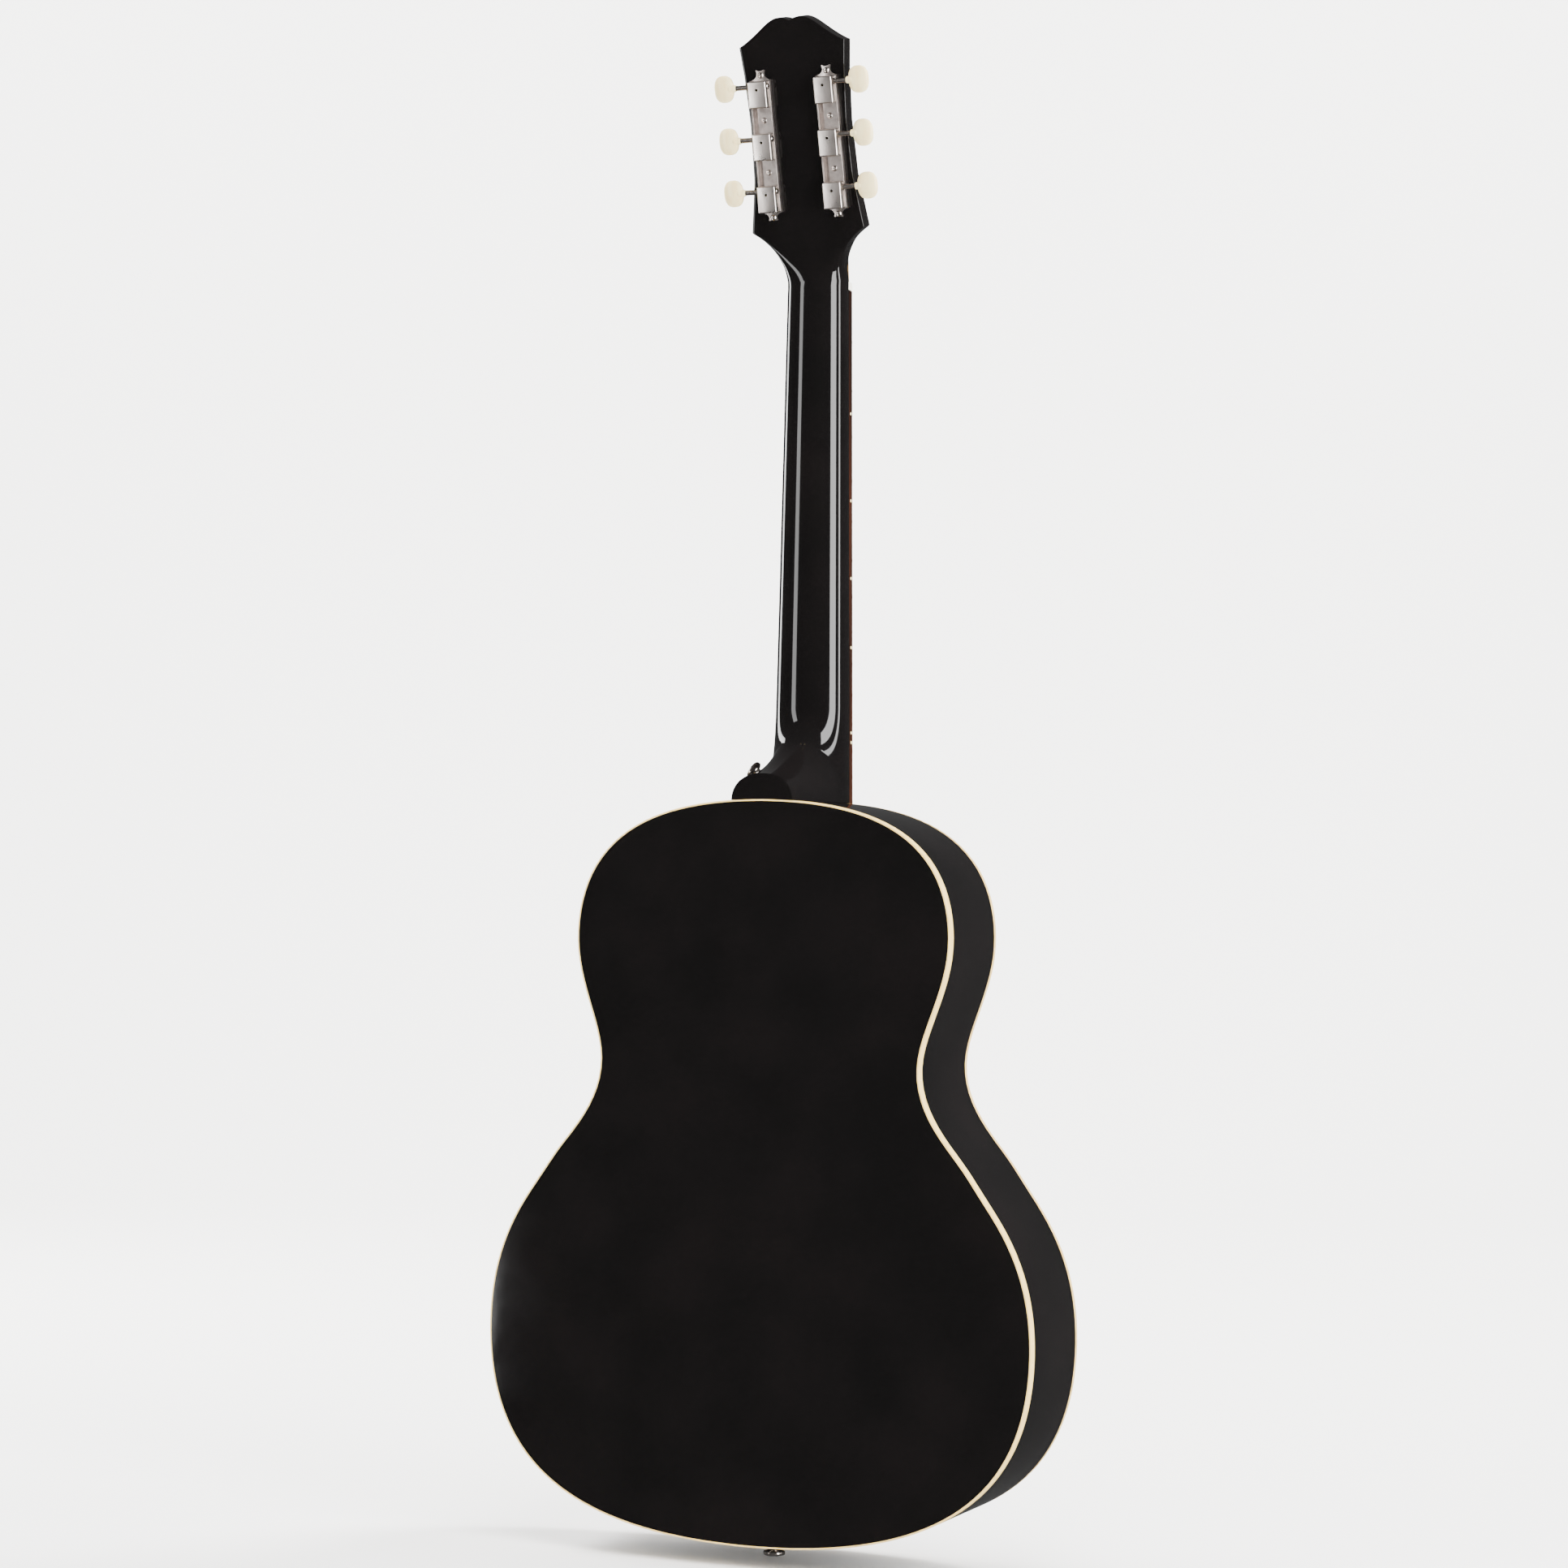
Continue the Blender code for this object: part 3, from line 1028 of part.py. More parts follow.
# ---- strings -------------------------------------------------------------------------
def make_string(number, side, row):
    """One string from below its bridge pin, over saddle and nut, to its turns on the post."""
    radius = string_radius(number)
    x_low = string_x(number, BRIDGE_STRING_SPACING)
    x_nut = string_x(number, NUT_STRING_SPACING)
    saddle_z = SADDLE - x_low * math.tan(SADDLE_TURN)
    saddle_y = FRONT - STRING_RISE_AT_SADDLE + crown(x_low) - radius - GAP * 1.2
    nut_y = FRONT - board_top(x_nut, NUT_WIDTH / 2) - NUT_STRING_RISE - radius - GAP
    flute = PIN_LINE + PIN_RADIUS - PIN_FLUTE_DEPTH + radius + GAP
    route = [Vector((x_low, FRONT + UNDER_TOP + BRIDGE_PLATE_THICKNESS + 0.002, flute)),
             Vector((x_low, FRONT - BRIDGE_HEIGHT - 0.0012, flute)),
             Vector((x_low, saddle_y, saddle_z)), Vector((x_nut, nut_y, NUT + 0.001))]
    centre = HEAD @ (machine_place(side, row) + Vector((0, -WINDING_RISE, POST_OFFSET)))
    local = HEAD.inverted() @ route[-1]
    spot = HEAD.inverted() @ centre
    wind = (POST_RADIUS + radius + GAP) / math.cos(math.pi / WINDING_STEPS)
    gap = Vector((local.x - spot.x, 0, local.z - spot.z))
    bearing = math.atan2(gap.z, gap.x)
    start = bearing - side * math.acos(wind / gap.length)
    steps = int(STRING_TURNS * WINDING_STEPS)
    climb = (2 * radius + GAP) / WINDING_STEPS
    for k in range(steps + 1):
        angle = start - side * k * 2 * math.pi / WINDING_STEPS
        route.append(HEAD @ Vector((spot.x + wind * math.cos(angle), spot.y + k * climb - steps * climb / 2,
                                    spot.z + wind * math.sin(angle))))
    curve = bpy.data.curves.new(f"string_{number}", "CURVE")
    curve.dimensions = "3D"
    curve.bevel_depth = radius
    curve.bevel_resolution = 0
    curve.use_fill_caps = True
    spline = curve.splines.new("POLY")
    spline.points.add(len(route) - 1)
    for point, place_at in zip(spline.points, route):
        point.co = (*place_at, 1)
    string = bpy.data.objects.new(f"string_{number}", curve)
    PARTS.objects.link(string)
    curve.materials.append(material(f"string_{number}", NICKEL, 0.3, 1.0))


# ---- strap pins and pickguard --------------------------------------------------------
def pin_profile(radius, height, shank, shank_length):
    """Strap pin from its outer face, over a waist, to the end of its shank."""
    return [(0, height), (radius * 0.84, height), (radius, height * 0.92), (radius * 0.96, height * 0.80),
            (radius * 0.50, height * 0.66), (radius * 0.46, height * 0.34), (radius * 0.78, height * 0.12),
            (radius * 0.78, GAP), (shank, GAP), (shank * 0.85, -shank_length), (0, -shank_length)]


def make_strap_pins(sides, tail_block, neck):
    """Strap pins in the tail and on the treble side of the heel, with their bores."""
    down = Matrix.Translation((0, 0, TAIL)) @ Matrix.Rotation(math.pi, 4, "X")
    turned("end_pin", pin_profile(TAIL_PIN_RADIUS, TAIL_PIN_HEIGHT, TAIL_PIN_SHANK, TAIL_PIN_SHANK_LENGTH),
           NICKEL, 0.2, 1.0, down)
    bore = as_cutter(place("end_pin_bore", rod(TAIL_PIN_SHANK + GAP, -0.04, 0.01), CREAM, matrix=down))
    for piece in (sides, tail_block):
        cut(piece, bore)
    aim = Matrix.Rotation(HEEL_PIN_SPREAD, 4, "Y")
    seat = (Matrix.Translation((0, FRONT + HEEL_PIN_DEPTH, SHOULDER + HEEL_PIN_RISE)) @ aim
            @ Matrix.Translation((0, 0, HEEL_PIN_SEAT)))
    turned("heel_pin", pin_profile(HEEL_PIN_RADIUS, HEEL_PIN_HEIGHT, HEEL_PIN_SHANK, HEEL_PIN_SHANK_LENGTH),
           NICKEL, 0.2, 1.0, seat)
    hole = place("heel_pin_bore", rod(HEEL_PIN_SHANK + GAP, -HEEL_PIN_SHANK_LENGTH - GAP, 0.02, sides=12),
                 CREAM, matrix=seat)
    pad = place("heel_pin_pad", rod(HEEL_PIN_RADIUS + GAP, 0, 0.02, sides=20), CREAM, matrix=seat)
    cut(neck, as_cutter(hole), as_cutter(pad))


def make_pickguard():
    """Teardrop beside the soundhole on the treble side."""
    start, ring = math.radians(84), SOUNDHOLE_RADIUS + RING_ROOM
    inner = [(ring * math.sin(a), SOUNDHOLE + ring * math.cos(a))
             for a in np.linspace(start * 0.5, start * 1.65, 8)]
    # the outer side in soundhole radii from the soundhole's middle
    drop = [(1.40, -1.52), (1.78, -1.40), (1.96, -0.96), (1.80, -0.40), (1.44, 0.20), (1.12, 0.68)]
    outer = [(x * SOUNDHOLE_RADIUS, SOUNDHOLE + z * SOUNDHOLE_RADIUS) for x, z in drop]
    place("pickguard", flat([inner + outer], FRONT - GAP - PICKGUARD_THICKNESS, FRONT - GAP), BLACK, 0.2)


# ---- the guitar ----------------------------------------------------------------------
def make_guitar():
    """All pieces; each one cuts its seat in those made before it."""
    soundboard = make_plates()
    sides, lining, lining_rooms = make_rims()
    neck_block = make_block("neck_block", False, NECK_BLOCK_LENGTH, lining_rooms)
    tail_block = make_block("tail_block", True, TAIL_BLOCK_LENGTH, lining_rooms)
    top_bracing = make_bracing()
    make_bridge(soundboard, top_bracing)
    neck = make_neck()
    mortise = as_cutter(place("mortise", block(
        (-TENON_HALF_WIDTH - GAP, FRONT + TENON_FRONT - GAP, SHOULDER - TENON_LENGTH - GAP),
        (TENON_HALF_WIDTH + GAP, FRONT + SHOULDER_DEPTH * TENON_DEPTH_SHARE + GAP, SHOULDER + 0.01)),
        MAHOGANY))
    for piece in (sides, neck_block, lining):
        cut(piece, mortise)
    make_truss_rod(neck)
    make_rod_cover()
    make_fingerboard()
    make_machines(neck)
    for side, numbers in MACHINE_ORDER.items():
        for row, number in enumerate(numbers):
            make_string(number, side, row)
    make_strap_pins(sides, tail_block, neck)
    make_pickguard()


make_guitar()
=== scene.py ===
"""Visual model of a small-bodied acoustic guitar in gloss black with cream binding.

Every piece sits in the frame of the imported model: +Z up the neck, +Y out of the
back, +X to the treble side, in metres.
"""
import json
import logging
import math
from dataclasses import dataclass, field
from enum import Enum
from typing import Iterable, Optional, Sequence

import bmesh
import bpy
import numpy as np
from mathutils import Matrix, Vector

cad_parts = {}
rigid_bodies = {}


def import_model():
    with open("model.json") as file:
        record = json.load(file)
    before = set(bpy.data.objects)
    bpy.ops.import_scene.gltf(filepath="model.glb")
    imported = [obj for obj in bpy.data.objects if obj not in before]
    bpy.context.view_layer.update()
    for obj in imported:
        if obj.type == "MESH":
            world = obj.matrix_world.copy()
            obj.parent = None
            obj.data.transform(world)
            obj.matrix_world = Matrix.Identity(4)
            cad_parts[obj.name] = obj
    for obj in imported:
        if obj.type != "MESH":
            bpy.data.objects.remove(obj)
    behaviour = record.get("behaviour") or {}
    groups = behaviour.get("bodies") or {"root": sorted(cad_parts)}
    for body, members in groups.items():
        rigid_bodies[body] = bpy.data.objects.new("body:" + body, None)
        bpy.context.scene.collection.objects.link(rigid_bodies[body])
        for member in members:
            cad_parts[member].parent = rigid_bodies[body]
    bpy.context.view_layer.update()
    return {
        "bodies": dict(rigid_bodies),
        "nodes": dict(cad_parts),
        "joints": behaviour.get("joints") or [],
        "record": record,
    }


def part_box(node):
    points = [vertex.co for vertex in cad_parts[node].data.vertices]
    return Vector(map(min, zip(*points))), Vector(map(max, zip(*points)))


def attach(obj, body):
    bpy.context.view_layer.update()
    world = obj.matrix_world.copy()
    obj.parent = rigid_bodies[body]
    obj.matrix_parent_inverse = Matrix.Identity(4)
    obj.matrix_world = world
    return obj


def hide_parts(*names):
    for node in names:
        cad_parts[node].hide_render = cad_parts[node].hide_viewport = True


LOG = logging.getLogger("guitar")
MM = 0.001
GAP = 0.3 * MM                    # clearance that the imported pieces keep
WELD = 1e-6                       # vertices this close are one
SAME = 1e-9                       # levels this close are the same
Point = Sequence[float]

# Frames whose Z points to the treble side, to the bass side, out of the front, out of the back or down
TO_TREBLE = Matrix.Rotation(math.pi / 2, 4, "Y")
TO_BASS = Matrix.Rotation(-math.pi / 2, 4, "Y")
TO_FRONT = Matrix.Rotation(math.pi / 2, 4, "X")
TO_BACK = Matrix.Rotation(-math.pi / 2, 4, "X")
DOWN = Matrix.Rotation(math.pi, 4, "X")
# Frame that lays an outline of (Z, Y), drawn as (X, Z), on edge along X
ON_EDGE = Matrix(((0, 1, 0, 0), (0, 0, 1, 0), (1, 0, 0, 0), (0, 0, 0, 1)))


class Side(Enum):
    """Halves of the guitar, by the strings that lie there."""

    BASS = -1
    TREBLE = 1


class Face(Enum):
    """Faces of the body that a binding runs round."""

    FRONT = "front"
    BACK = "back"


# ---- colours and nodes ---------------------------------------------------------


def linear(code: str) -> tuple[float, float, float, float]:
    """Turn an sRGB hex value into linear colour.

    Args:
        code: Six hex digits.

    Returns:
        Linear red, green, blue and an alpha of one.
    """
    values = [int(code[i:i + 2], 16) / 255 for i in (0, 2, 4)]
    red, green, blue = (v / 12.92 if v <= 0.04045 else ((v + 0.055) / 1.055) ** 2.4 for v in values)
    return red, green, blue, 1.0


def add_node(tree: bpy.types.NodeTree, kind: str, settings: Optional[dict] = None,
             links: Optional[dict] = None, **values: object) -> bpy.types.Node:
    """Add one node with its settings, socket values and incoming links.

    Args:
        tree: The material's or world's node tree.
        kind: The node's type name, such as ShaderNodeTexNoise.
        settings: Attributes of the node itself.
        links: Output socket for each input, by the input's name or index.
        values: Socket values, with underscores for spaces.

    Returns:
        The new node.
    """
    node = tree.nodes.new(kind)
    for name, value in (settings or {}).items():
        setattr(node, name, value)
    for name, value in values.items():
        node.inputs[name.replace("_", " ")].default_value = value
    for name, socket in (links or {}).items():
        tree.links.new(socket, node.inputs[name])
    return node


@dataclass(frozen=True)
class Finish:
    """What every finish shares: a name, a colour and how glossy it is."""

    name: str
    colour: str
    roughness: float
    metallic: float = 0.0
    ior: float = 1.5
    specular: float = 0.5

    def make(self) -> bpy.types.Material:
        """Make the material."""
        return self.start()[0]

    def start(self) -> tuple[bpy.types.Material, bpy.types.NodeTree, bpy.types.Node, bpy.types.NodeSocket]:
        """Make the material.

        Returns:
            The material, its tree, its shader and the object coordinates.
        """
        made = bpy.data.materials.new(self.name)
        made.use_nodes = True
        tree = made.node_tree
        shader = tree.nodes["Principled BSDF"]
        shader.inputs["Base Color"].default_value = linear(self.colour)
        shader.inputs["Roughness"].default_value = self.roughness
        shader.inputs["Metallic"].default_value = self.metallic
        if not self.metallic:
            shader.inputs["IOR"].default_value = self.ior
            shader.inputs["Specular IOR Level"].default_value = self.specular
        place = add_node(tree, "ShaderNodeTexCoord").outputs["Object"]
        return made, tree, shader, place

    def bump(self, tree: bpy.types.NodeTree, shader: bpy.types.Node, height: bpy.types.NodeSocket,
             depth: float, strength: float = 1.0) -> None:
        """Link a height to the shader's normal.

        Args:
            tree: The material's tree.
            shader: Its shader.
            height: The pattern, from nought to one.
            depth: How deep the pattern is, in metres.
            strength: How much of it shows.
        """
        node = add_node(tree, "ShaderNodeBump", links={"Height": height}, Strength=strength, Distance=depth)
        tree.links.new(node.outputs["Normal"], shader.inputs["Normal"])

    def mottle(self, tree: bpy.types.NodeTree, place: bpy.types.NodeSocket, size: float,
               detail: float = 4.0) -> bpy.types.NodeSocket:
        """Noise whose patches have a real size.

        Args:
            tree: The material's tree.
            place: Coordinates in metres.
            size: Width of a patch, in metres.
            detail: Octaves of noise.

        Returns:
            The noise, from nought to one.
        """
        noise = add_node(tree, "ShaderNodeTexNoise", links={"Vector": place}, Scale=1 / size, Detail=detail)
        return noise.outputs["Fac"]

    def spread(self, tree: bpy.types.NodeTree, fac: bpy.types.NodeSocket, low: float,
               high: float) -> bpy.types.NodeSocket:
        """Map a pattern onto a range of values.

        Args:
            tree: The material's tree.
            fac: A pattern from nought to one.
            low: Value where the pattern is low.
            high: Value where it is high.

        Returns:
            The mapped value.
        """
        node = add_node(tree, "ShaderNodeMapRange", links={"Value": fac})
        for name, value in (("From Min", 0.3), ("From Max", 0.7), ("To Min", low), ("To Max", high)):
            node.inputs[name].default_value = value
        return node.outputs["Result"]

    def tint(self, tree: bpy.types.NodeTree, fac: bpy.types.NodeSocket, low: str, high: str,
             shader: bpy.types.Node, edges: tuple[float, float] = (0.35, 0.65)) -> None:
        """Colour the shader between two shades.

        Args:
            tree: The material's tree.
            fac: A pattern from nought to one.
            low: Shade where it is low, as hex.
            high: Shade where it is high, as hex.
            shader: The shader to colour.
            edges: Where in the pattern the shades begin.
        """
        ramp = add_node(tree, "ShaderNodeValToRGB", links={"Fac": fac})
        for stop, place, shade in zip(ramp.color_ramp.elements, edges, (low, high)):
            stop.position = place
            stop.color = linear(shade)
        tree.links.new(ramp.outputs["Color"], shader.inputs["Base Color"])


@dataclass(frozen=True)
class Lacquer(Finish):
    """Sprayed and buffed gloss lacquer.

    It gives the eye mirror-like highlights that waver a little, as a buffed
    film over sanded wood does, and buffing haze that softens them in patches.
    """

    def make(self) -> bpy.types.Material:
        """Make the material."""
        made, tree, shader, place = self.start()
        haze = self.mottle(tree, place, 35 * MM)
        tree.links.new(self.spread(tree, haze, self.roughness * 0.75, self.roughness * 1.5),
                       shader.inputs["Roughness"])
        self.tint(tree, self.mottle(tree, place, 60 * MM), self.colour, "0E0C0C", shader)
        self.bump(tree, shader, self.mottle(tree, place, 14 * MM, 2.0), 0.012 * MM, 0.5)
        return made


@dataclass(frozen=True)
class Celluloid(Finish):
    """Pressed cellulose plastic, buffed, gone warm with age.

    It gives the eye a soft glow under the surface, with faint lengthwise
    streaks where the sheet was rolled.
    """

    deep: str = "EBD9B4"

    def make(self) -> bpy.types.Material:
        """Make the material."""
        made, tree, shader, place = self.start()
        stretch = add_node(tree, "ShaderNodeMapping", links={"Vector": place})
        stretch.inputs["Scale"].default_value = (1, 1, 0.12)
        streak = self.mottle(tree, stretch.outputs["Vector"], 3 * MM)
        self.tint(tree, streak, self.deep, self.colour, shader, (0.25, 0.6))
        shader.inputs["Subsurface Weight"].default_value = 0.15
        shader.inputs["Subsurface Radius"].default_value = (1.0, 0.7, 0.4)
        shader.inputs["Subsurface Scale"].default_value = 1.0 * MM
        fine = self.mottle(tree, place, 4 * MM)
        tree.links.new(self.spread(tree, fine, self.roughness * 0.8, self.roughness * 1.3),
                       shader.inputs["Roughness"])
        self.bump(tree, shader, fine, 0.02 * MM, 0.3)
        return made


@dataclass(frozen=True)
class NickelPlate(Finish):
    """Nickel plated over stamped or turned steel.

    It gives the eye a warm grey mirror that has clouded where fingers touched
    it, with drawing lines from the press.
    """

    dull: str = "A89F98"
    line_size: float = 0.8 * MM
    cloud_size: float = 5 * MM

    def make(self) -> bpy.types.Material:
        """Make the material."""
        made, tree, shader, place = self.start()
        cloud = self.mottle(tree, place, self.cloud_size)
        self.tint(tree, cloud, self.dull, self.colour, shader, (0.3, 0.62))
        tree.links.new(self.spread(tree, cloud, self.roughness * 1.35, self.roughness * 0.8),
                       shader.inputs["Roughness"])
        drawn = add_node(tree, "ShaderNodeMapping", links={"Vector": place})
        drawn.inputs["Scale"].default_value = (1, 1, 0.06)
        self.bump(tree, shader, self.mottle(tree, drawn.outputs["Vector"], self.line_size), 0.01 * MM, 0.35)
        return made


@dataclass(frozen=True)
class Timber(Finish):
    """Sawn or planed wood with its pores open or filled.

    It gives the eye growth rings along the board, darker late wood and short
    pores drawn a little longer than real ones so that they show.
    """

    dark: str = "3A2416"
    ring: float = 2.2 * MM
    along: tuple[float, float, float] = (1.0, 1.0, 0.03)
    pore_depth: float = 0.08 * MM

    def make(self) -> bpy.types.Material:
        """Make the material."""
        made, tree, shader, place = self.start()
        drawn = add_node(tree, "ShaderNodeMapping", links={"Vector": place})
        drawn.inputs["Scale"].default_value = self.along
        rings = self.mottle(tree, drawn.outputs["Vector"], self.ring * 2.5, 6.0)
        self.tint(tree, rings, self.dark, self.colour, shader, (0.34, 0.60))
        pores = self.mottle(tree, drawn.outputs["Vector"], self.ring * 0.35, 3.0)
        tree.links.new(self.spread(tree, pores, self.roughness * 1.2, self.roughness * 0.85),
                       shader.inputs["Roughness"])
        self.bump(tree, shader, pores, self.pore_depth, 0.5)
        return made


@dataclass(frozen=True)
class Bone(Finish):
    """Sawn and polished cattle bone: waxy, off-white, with fine lengthwise pores."""

    def make(self) -> bpy.types.Material:
        """Make the material."""
        made, tree, shader, place = self.start()
        drawn = add_node(tree, "ShaderNodeMapping", links={"Vector": place})
        drawn.inputs["Scale"].default_value = (0.1, 1, 1)
        pores = self.mottle(tree, drawn.outputs["Vector"], 0.5 * MM)
        self.tint(tree, pores, "DCD2BC", self.colour, shader, (0.2, 0.5))
        self.bump(tree, shader, pores, 0.02 * MM, 0.4)
        return made


@dataclass(frozen=True)
class Shell(Finish):
    """Cut mother-of-pearl: pale, with clouds of pink and green under a polish."""

    def make(self) -> bpy.types.Material:
        """Make the material."""
        made, tree, shader, place = self.start()
        wave = add_node(tree, "ShaderNodeTexWave", links={"Vector": place}, Scale=90.0, Distortion=6.0,
                        Detail=3.0)
        self.tint(tree, wave.outputs["Fac"], "C9D6CF", self.colour, shader, (0.2, 0.8))
        shader.inputs["Coat Weight"].default_value = 0.5
        self.bump(tree, shader, wave.outputs["Fac"], 0.02 * MM, 0.3)
        return made


@dataclass(frozen=True)
class Wire(Finish):
    """Drawn steel wire, plain or wound with bronze.

    A wound string shows its turns as fine ridges. They are drawn 0.9 mm apart,
    about twice the real pitch, so that they show.
    """

    wound: bool = False

    def make(self) -> bpy.types.Material:
        """Make the material."""
        made, tree, shader, place = self.start()
        patina = self.mottle(tree, place, 9 * MM)
        tree.links.new(self.spread(tree, patina, self.roughness * 0.8, self.roughness * 1.4),
                       shader.inputs["Roughness"])
        if self.wound:
            # a wave of bands has 2 pi / 20 of its scale in each unit
            turns = add_node(tree, "ShaderNodeTexWave", {"bands_direction": "Z"}, {"Vector": place},
                             Scale=2 * math.pi / 20 / (0.9 * MM))
            # the bands go dark brown in the grooves between the turns: painted shade
            self.tint(tree, turns.outputs["Fac"], "7A5B33", self.colour, shader, (0.0, 0.6))
            self.bump(tree, shader, turns.outputs["Fac"], 0.12 * MM, 0.6)
        return made


FINISHES = {
    "black_lacquer": Lacquer("black_nitrocellulose_lacquer", "0A0909", 0.045, ior=1.47, specular=0.42),
    # the front binding and the rosette take a darker copy of the binding celluloid: painted shade on the face
    # turned from the lights
    "binding": Celluloid("cream_celluloid_binding", "F6D486", 0.22, deep="E4C06E"),
    "shaded_front_binding": Celluloid("aged_celluloid_binding", "F0CE84", 0.22, deep="DDB566"),
    "cream": Celluloid("cream_celluloid_buttons", "FFECB6", 0.20, deep="FADFA2"),
    # the covers' nickel is painted lighter than the plates' nickel: painted light, a lit copy of the same
    # plating
    "covers": NickelPlate("nickel_covers_painted_light", "F5ECE5", 0.30, 1.0, dull="E8DDD6", cloud_size=11 * MM),
    "plates": NickelPlate("rolled_nickel_plates", "CFC5BF", 0.36, 1.0, dull="A79C97"),
    "turned": NickelPlate("turned_nickel_shafts", "DCD3CC", 0.20, 1.0, dull="A69B94"),
    "gears": NickelPlate("cut_brass_gears", "C9A45C", 0.35, 1.0, dull="8E6F38"),
    "frets": NickelPlate("nickel_silver_fret_wire", "DCD8D0", 0.22, 1.0, dull="B7B1A8"),
    "rosewood": Timber("oiled_rosewood", "2E150B", 0.52, specular=0.12, dark="120805"),
    "spruce": Timber("planed_spruce", "D8B98A", 0.62, dark="B98F5C", ring=1.6 * MM),
    "mahogany": Timber("sawn_mahogany", "8A5536", 0.66, dark="643A24", ring=3 * MM),
    "bone": Bone("polished_bone", "F7F2E6", 0.28),
    "pearl": Shell("mother_of_pearl", "F2EEE4", 0.15),
    "plain_wire": Wire("plain_steel_wire", "D6D6D6", 0.22, 1.0),
    "wound_wire": Wire("bronze_wound_wire", "C99F62", 0.30, 1.0, wound=True),
    "rod_steel": NickelPlate("zinc_plated_rod", "B9BBBD", 0.4, 1.0, dull="84878A"),
    "paper": Finish("matt_white_paper", "F8F7F5", 0.9),
    "studio_floor": Finish("matt_pale_floor", "C8C8C6", 0.9),
    "black_plastic": Celluloid("black_celluloid", "151314", 0.10, deep="0B0A0A"),
}
_made: dict[str, bpy.types.Material] = {}


def finish(key: str) -> bpy.types.Material:
    """The material of a finish, made once."""
    if key not in _made:
        _made[key] = FINISHES[key].make()
    return _made[key]


# ---- mesh tools -------------------------------------------------------------------


def new_piece(name: str, shape: bmesh.types.BMesh, key: str, smooth: float = 32.0) -> bpy.types.Object:
    """Turn a bmesh into a piece at the origin with its place in its mesh.

    Args:
        name: The piece's name.
        shape: The finished shape, which is freed.
        key: Its finish.
        smooth: Edges sharper than this, in degrees, stay sharp.

    Returns:
        The piece.
    """
    bmesh.ops.remove_doubles(shape, verts=shape.verts, dist=WELD)
    bmesh.ops.recalc_face_normals(shape, faces=shape.faces)
    mesh = bpy.data.meshes.new(name)
    shape.to_mesh(mesh)
    shape.free()
    mesh.materials.append(finish(key))
    mesh.shade_smooth()
    mesh.set_sharp_from_angle(angle=math.radians(smooth))
    piece = bpy.data.objects.new(name, mesh)
    bpy.context.scene.collection.objects.link(piece)
    return piece


def settle(piece: bpy.types.Object) -> bpy.types.Object:
    """Apply a piece's modifiers to its mesh."""
    graph = bpy.context.evaluated_depsgraph_get()
    mesh = bpy.data.meshes.new_from_object(piece.evaluated_get(graph))
    piece.modifiers.clear()
    piece.data = mesh
    return piece


def combine(piece: bpy.types.Object, tool: bpy.types.Object, operation: str) -> bpy.types.Object:
    """Cut a piece with a tool, join the tool to it or keep what they share.

    Args:
        piece: The piece that stays.
        tool: The other shape, which is removed.
        operation: DIFFERENCE, UNION or INTERSECT.

    Returns:
        The piece.
    """
    step = piece.modifiers.new("combine", "BOOLEAN")
    step.operation = operation
    step.object = tool
    settle(piece)
    bpy.data.objects.remove(tool)
    return piece


def cut(piece: bpy.types.Object, shape: bmesh.types.BMesh, key: str) -> bpy.types.Object:
    """Cut a shape out of a piece.

    Args:
        piece: The piece that stays.
        shape: What is taken away, which is freed.
        key: Finish of the faces it leaves.

    Returns:
        The piece.
    """
    return combine(piece, new_piece("cutter", shape, key), "DIFFERENCE")


def crease(piece: bpy.types.Object, degrees: float) -> None:
    """Shade a piece smooth but for the edges sharper than an angle."""
    piece.data.shade_smooth()
    piece.data.set_sharp_from_angle(angle=math.radians(degrees))


def extrude_ring(shape: bmesh.types.BMesh, ring: list, points: Iterable[Point]) -> list:
    """Extrude a loop of vertices and move the new loop onto given points.

    Args:
        shape: The bmesh.
        ring: The loop's vertices in order.
        points: Where the new vertices go, in the same order.

    Returns:
        The new loop's vertices in order.
    """
    edges = [shape.edges.get(pair) or shape.edges.new(pair) for pair in zip(ring, ring[1:] + ring[:1])]
    made = bmesh.ops.extrude_edge_only(shape, edges=edges)
    fresh = {v for v in made["geom"] if isinstance(v, bmesh.types.BMVert)}
    upper = [next(e.other_vert(v) for e in v.link_edges if e.other_vert(v) in fresh) for v in ring]
    for vertex, point in zip(upper, points):
        vertex.co = point
    return upper


def loft(rings: Sequence[Sequence[Point]], capped: bool = True, looped: bool = False) -> bmesh.types.BMesh:
    """Skin through rings of points.

    Args:
        rings: Rings with the same number of points.
        capped: Whether the first and last ring get a face.
        looped: Whether the last ring joins the first.

    Returns:
        The shape.
    """
    shape = bmesh.new()
    first = [shape.verts.new(point) for point in rings[0]]
    ring = first
    for points in rings[1:]:
        ring = extrude_ring(shape, ring, points)
    if looped:
        extrude_ring(shape, ring, [v.co.copy() for v in first])
        bmesh.ops.remove_doubles(shape, verts=shape.verts, dist=1e-7)
    elif capped:
        shape.faces.new(first)
        shape.faces.new(ring)
    return shape


def bevel(shape: bmesh.types.BMesh, edges: Iterable[bmesh.types.BMEdge], width: float,
          segments: int = 2) -> None:
    """Round edges.

    Args:
        shape: The bmesh.
        edges: Its edges to round.
        width: How far from the edge the rounding starts.
        segments: Steps in the rounding.
    """
    bmesh.ops.bevel(shape, geom=edges, offset=width, segments=segments, affect="EDGES", profile=0.5,
                    material=-1, clamp_overlap=True)


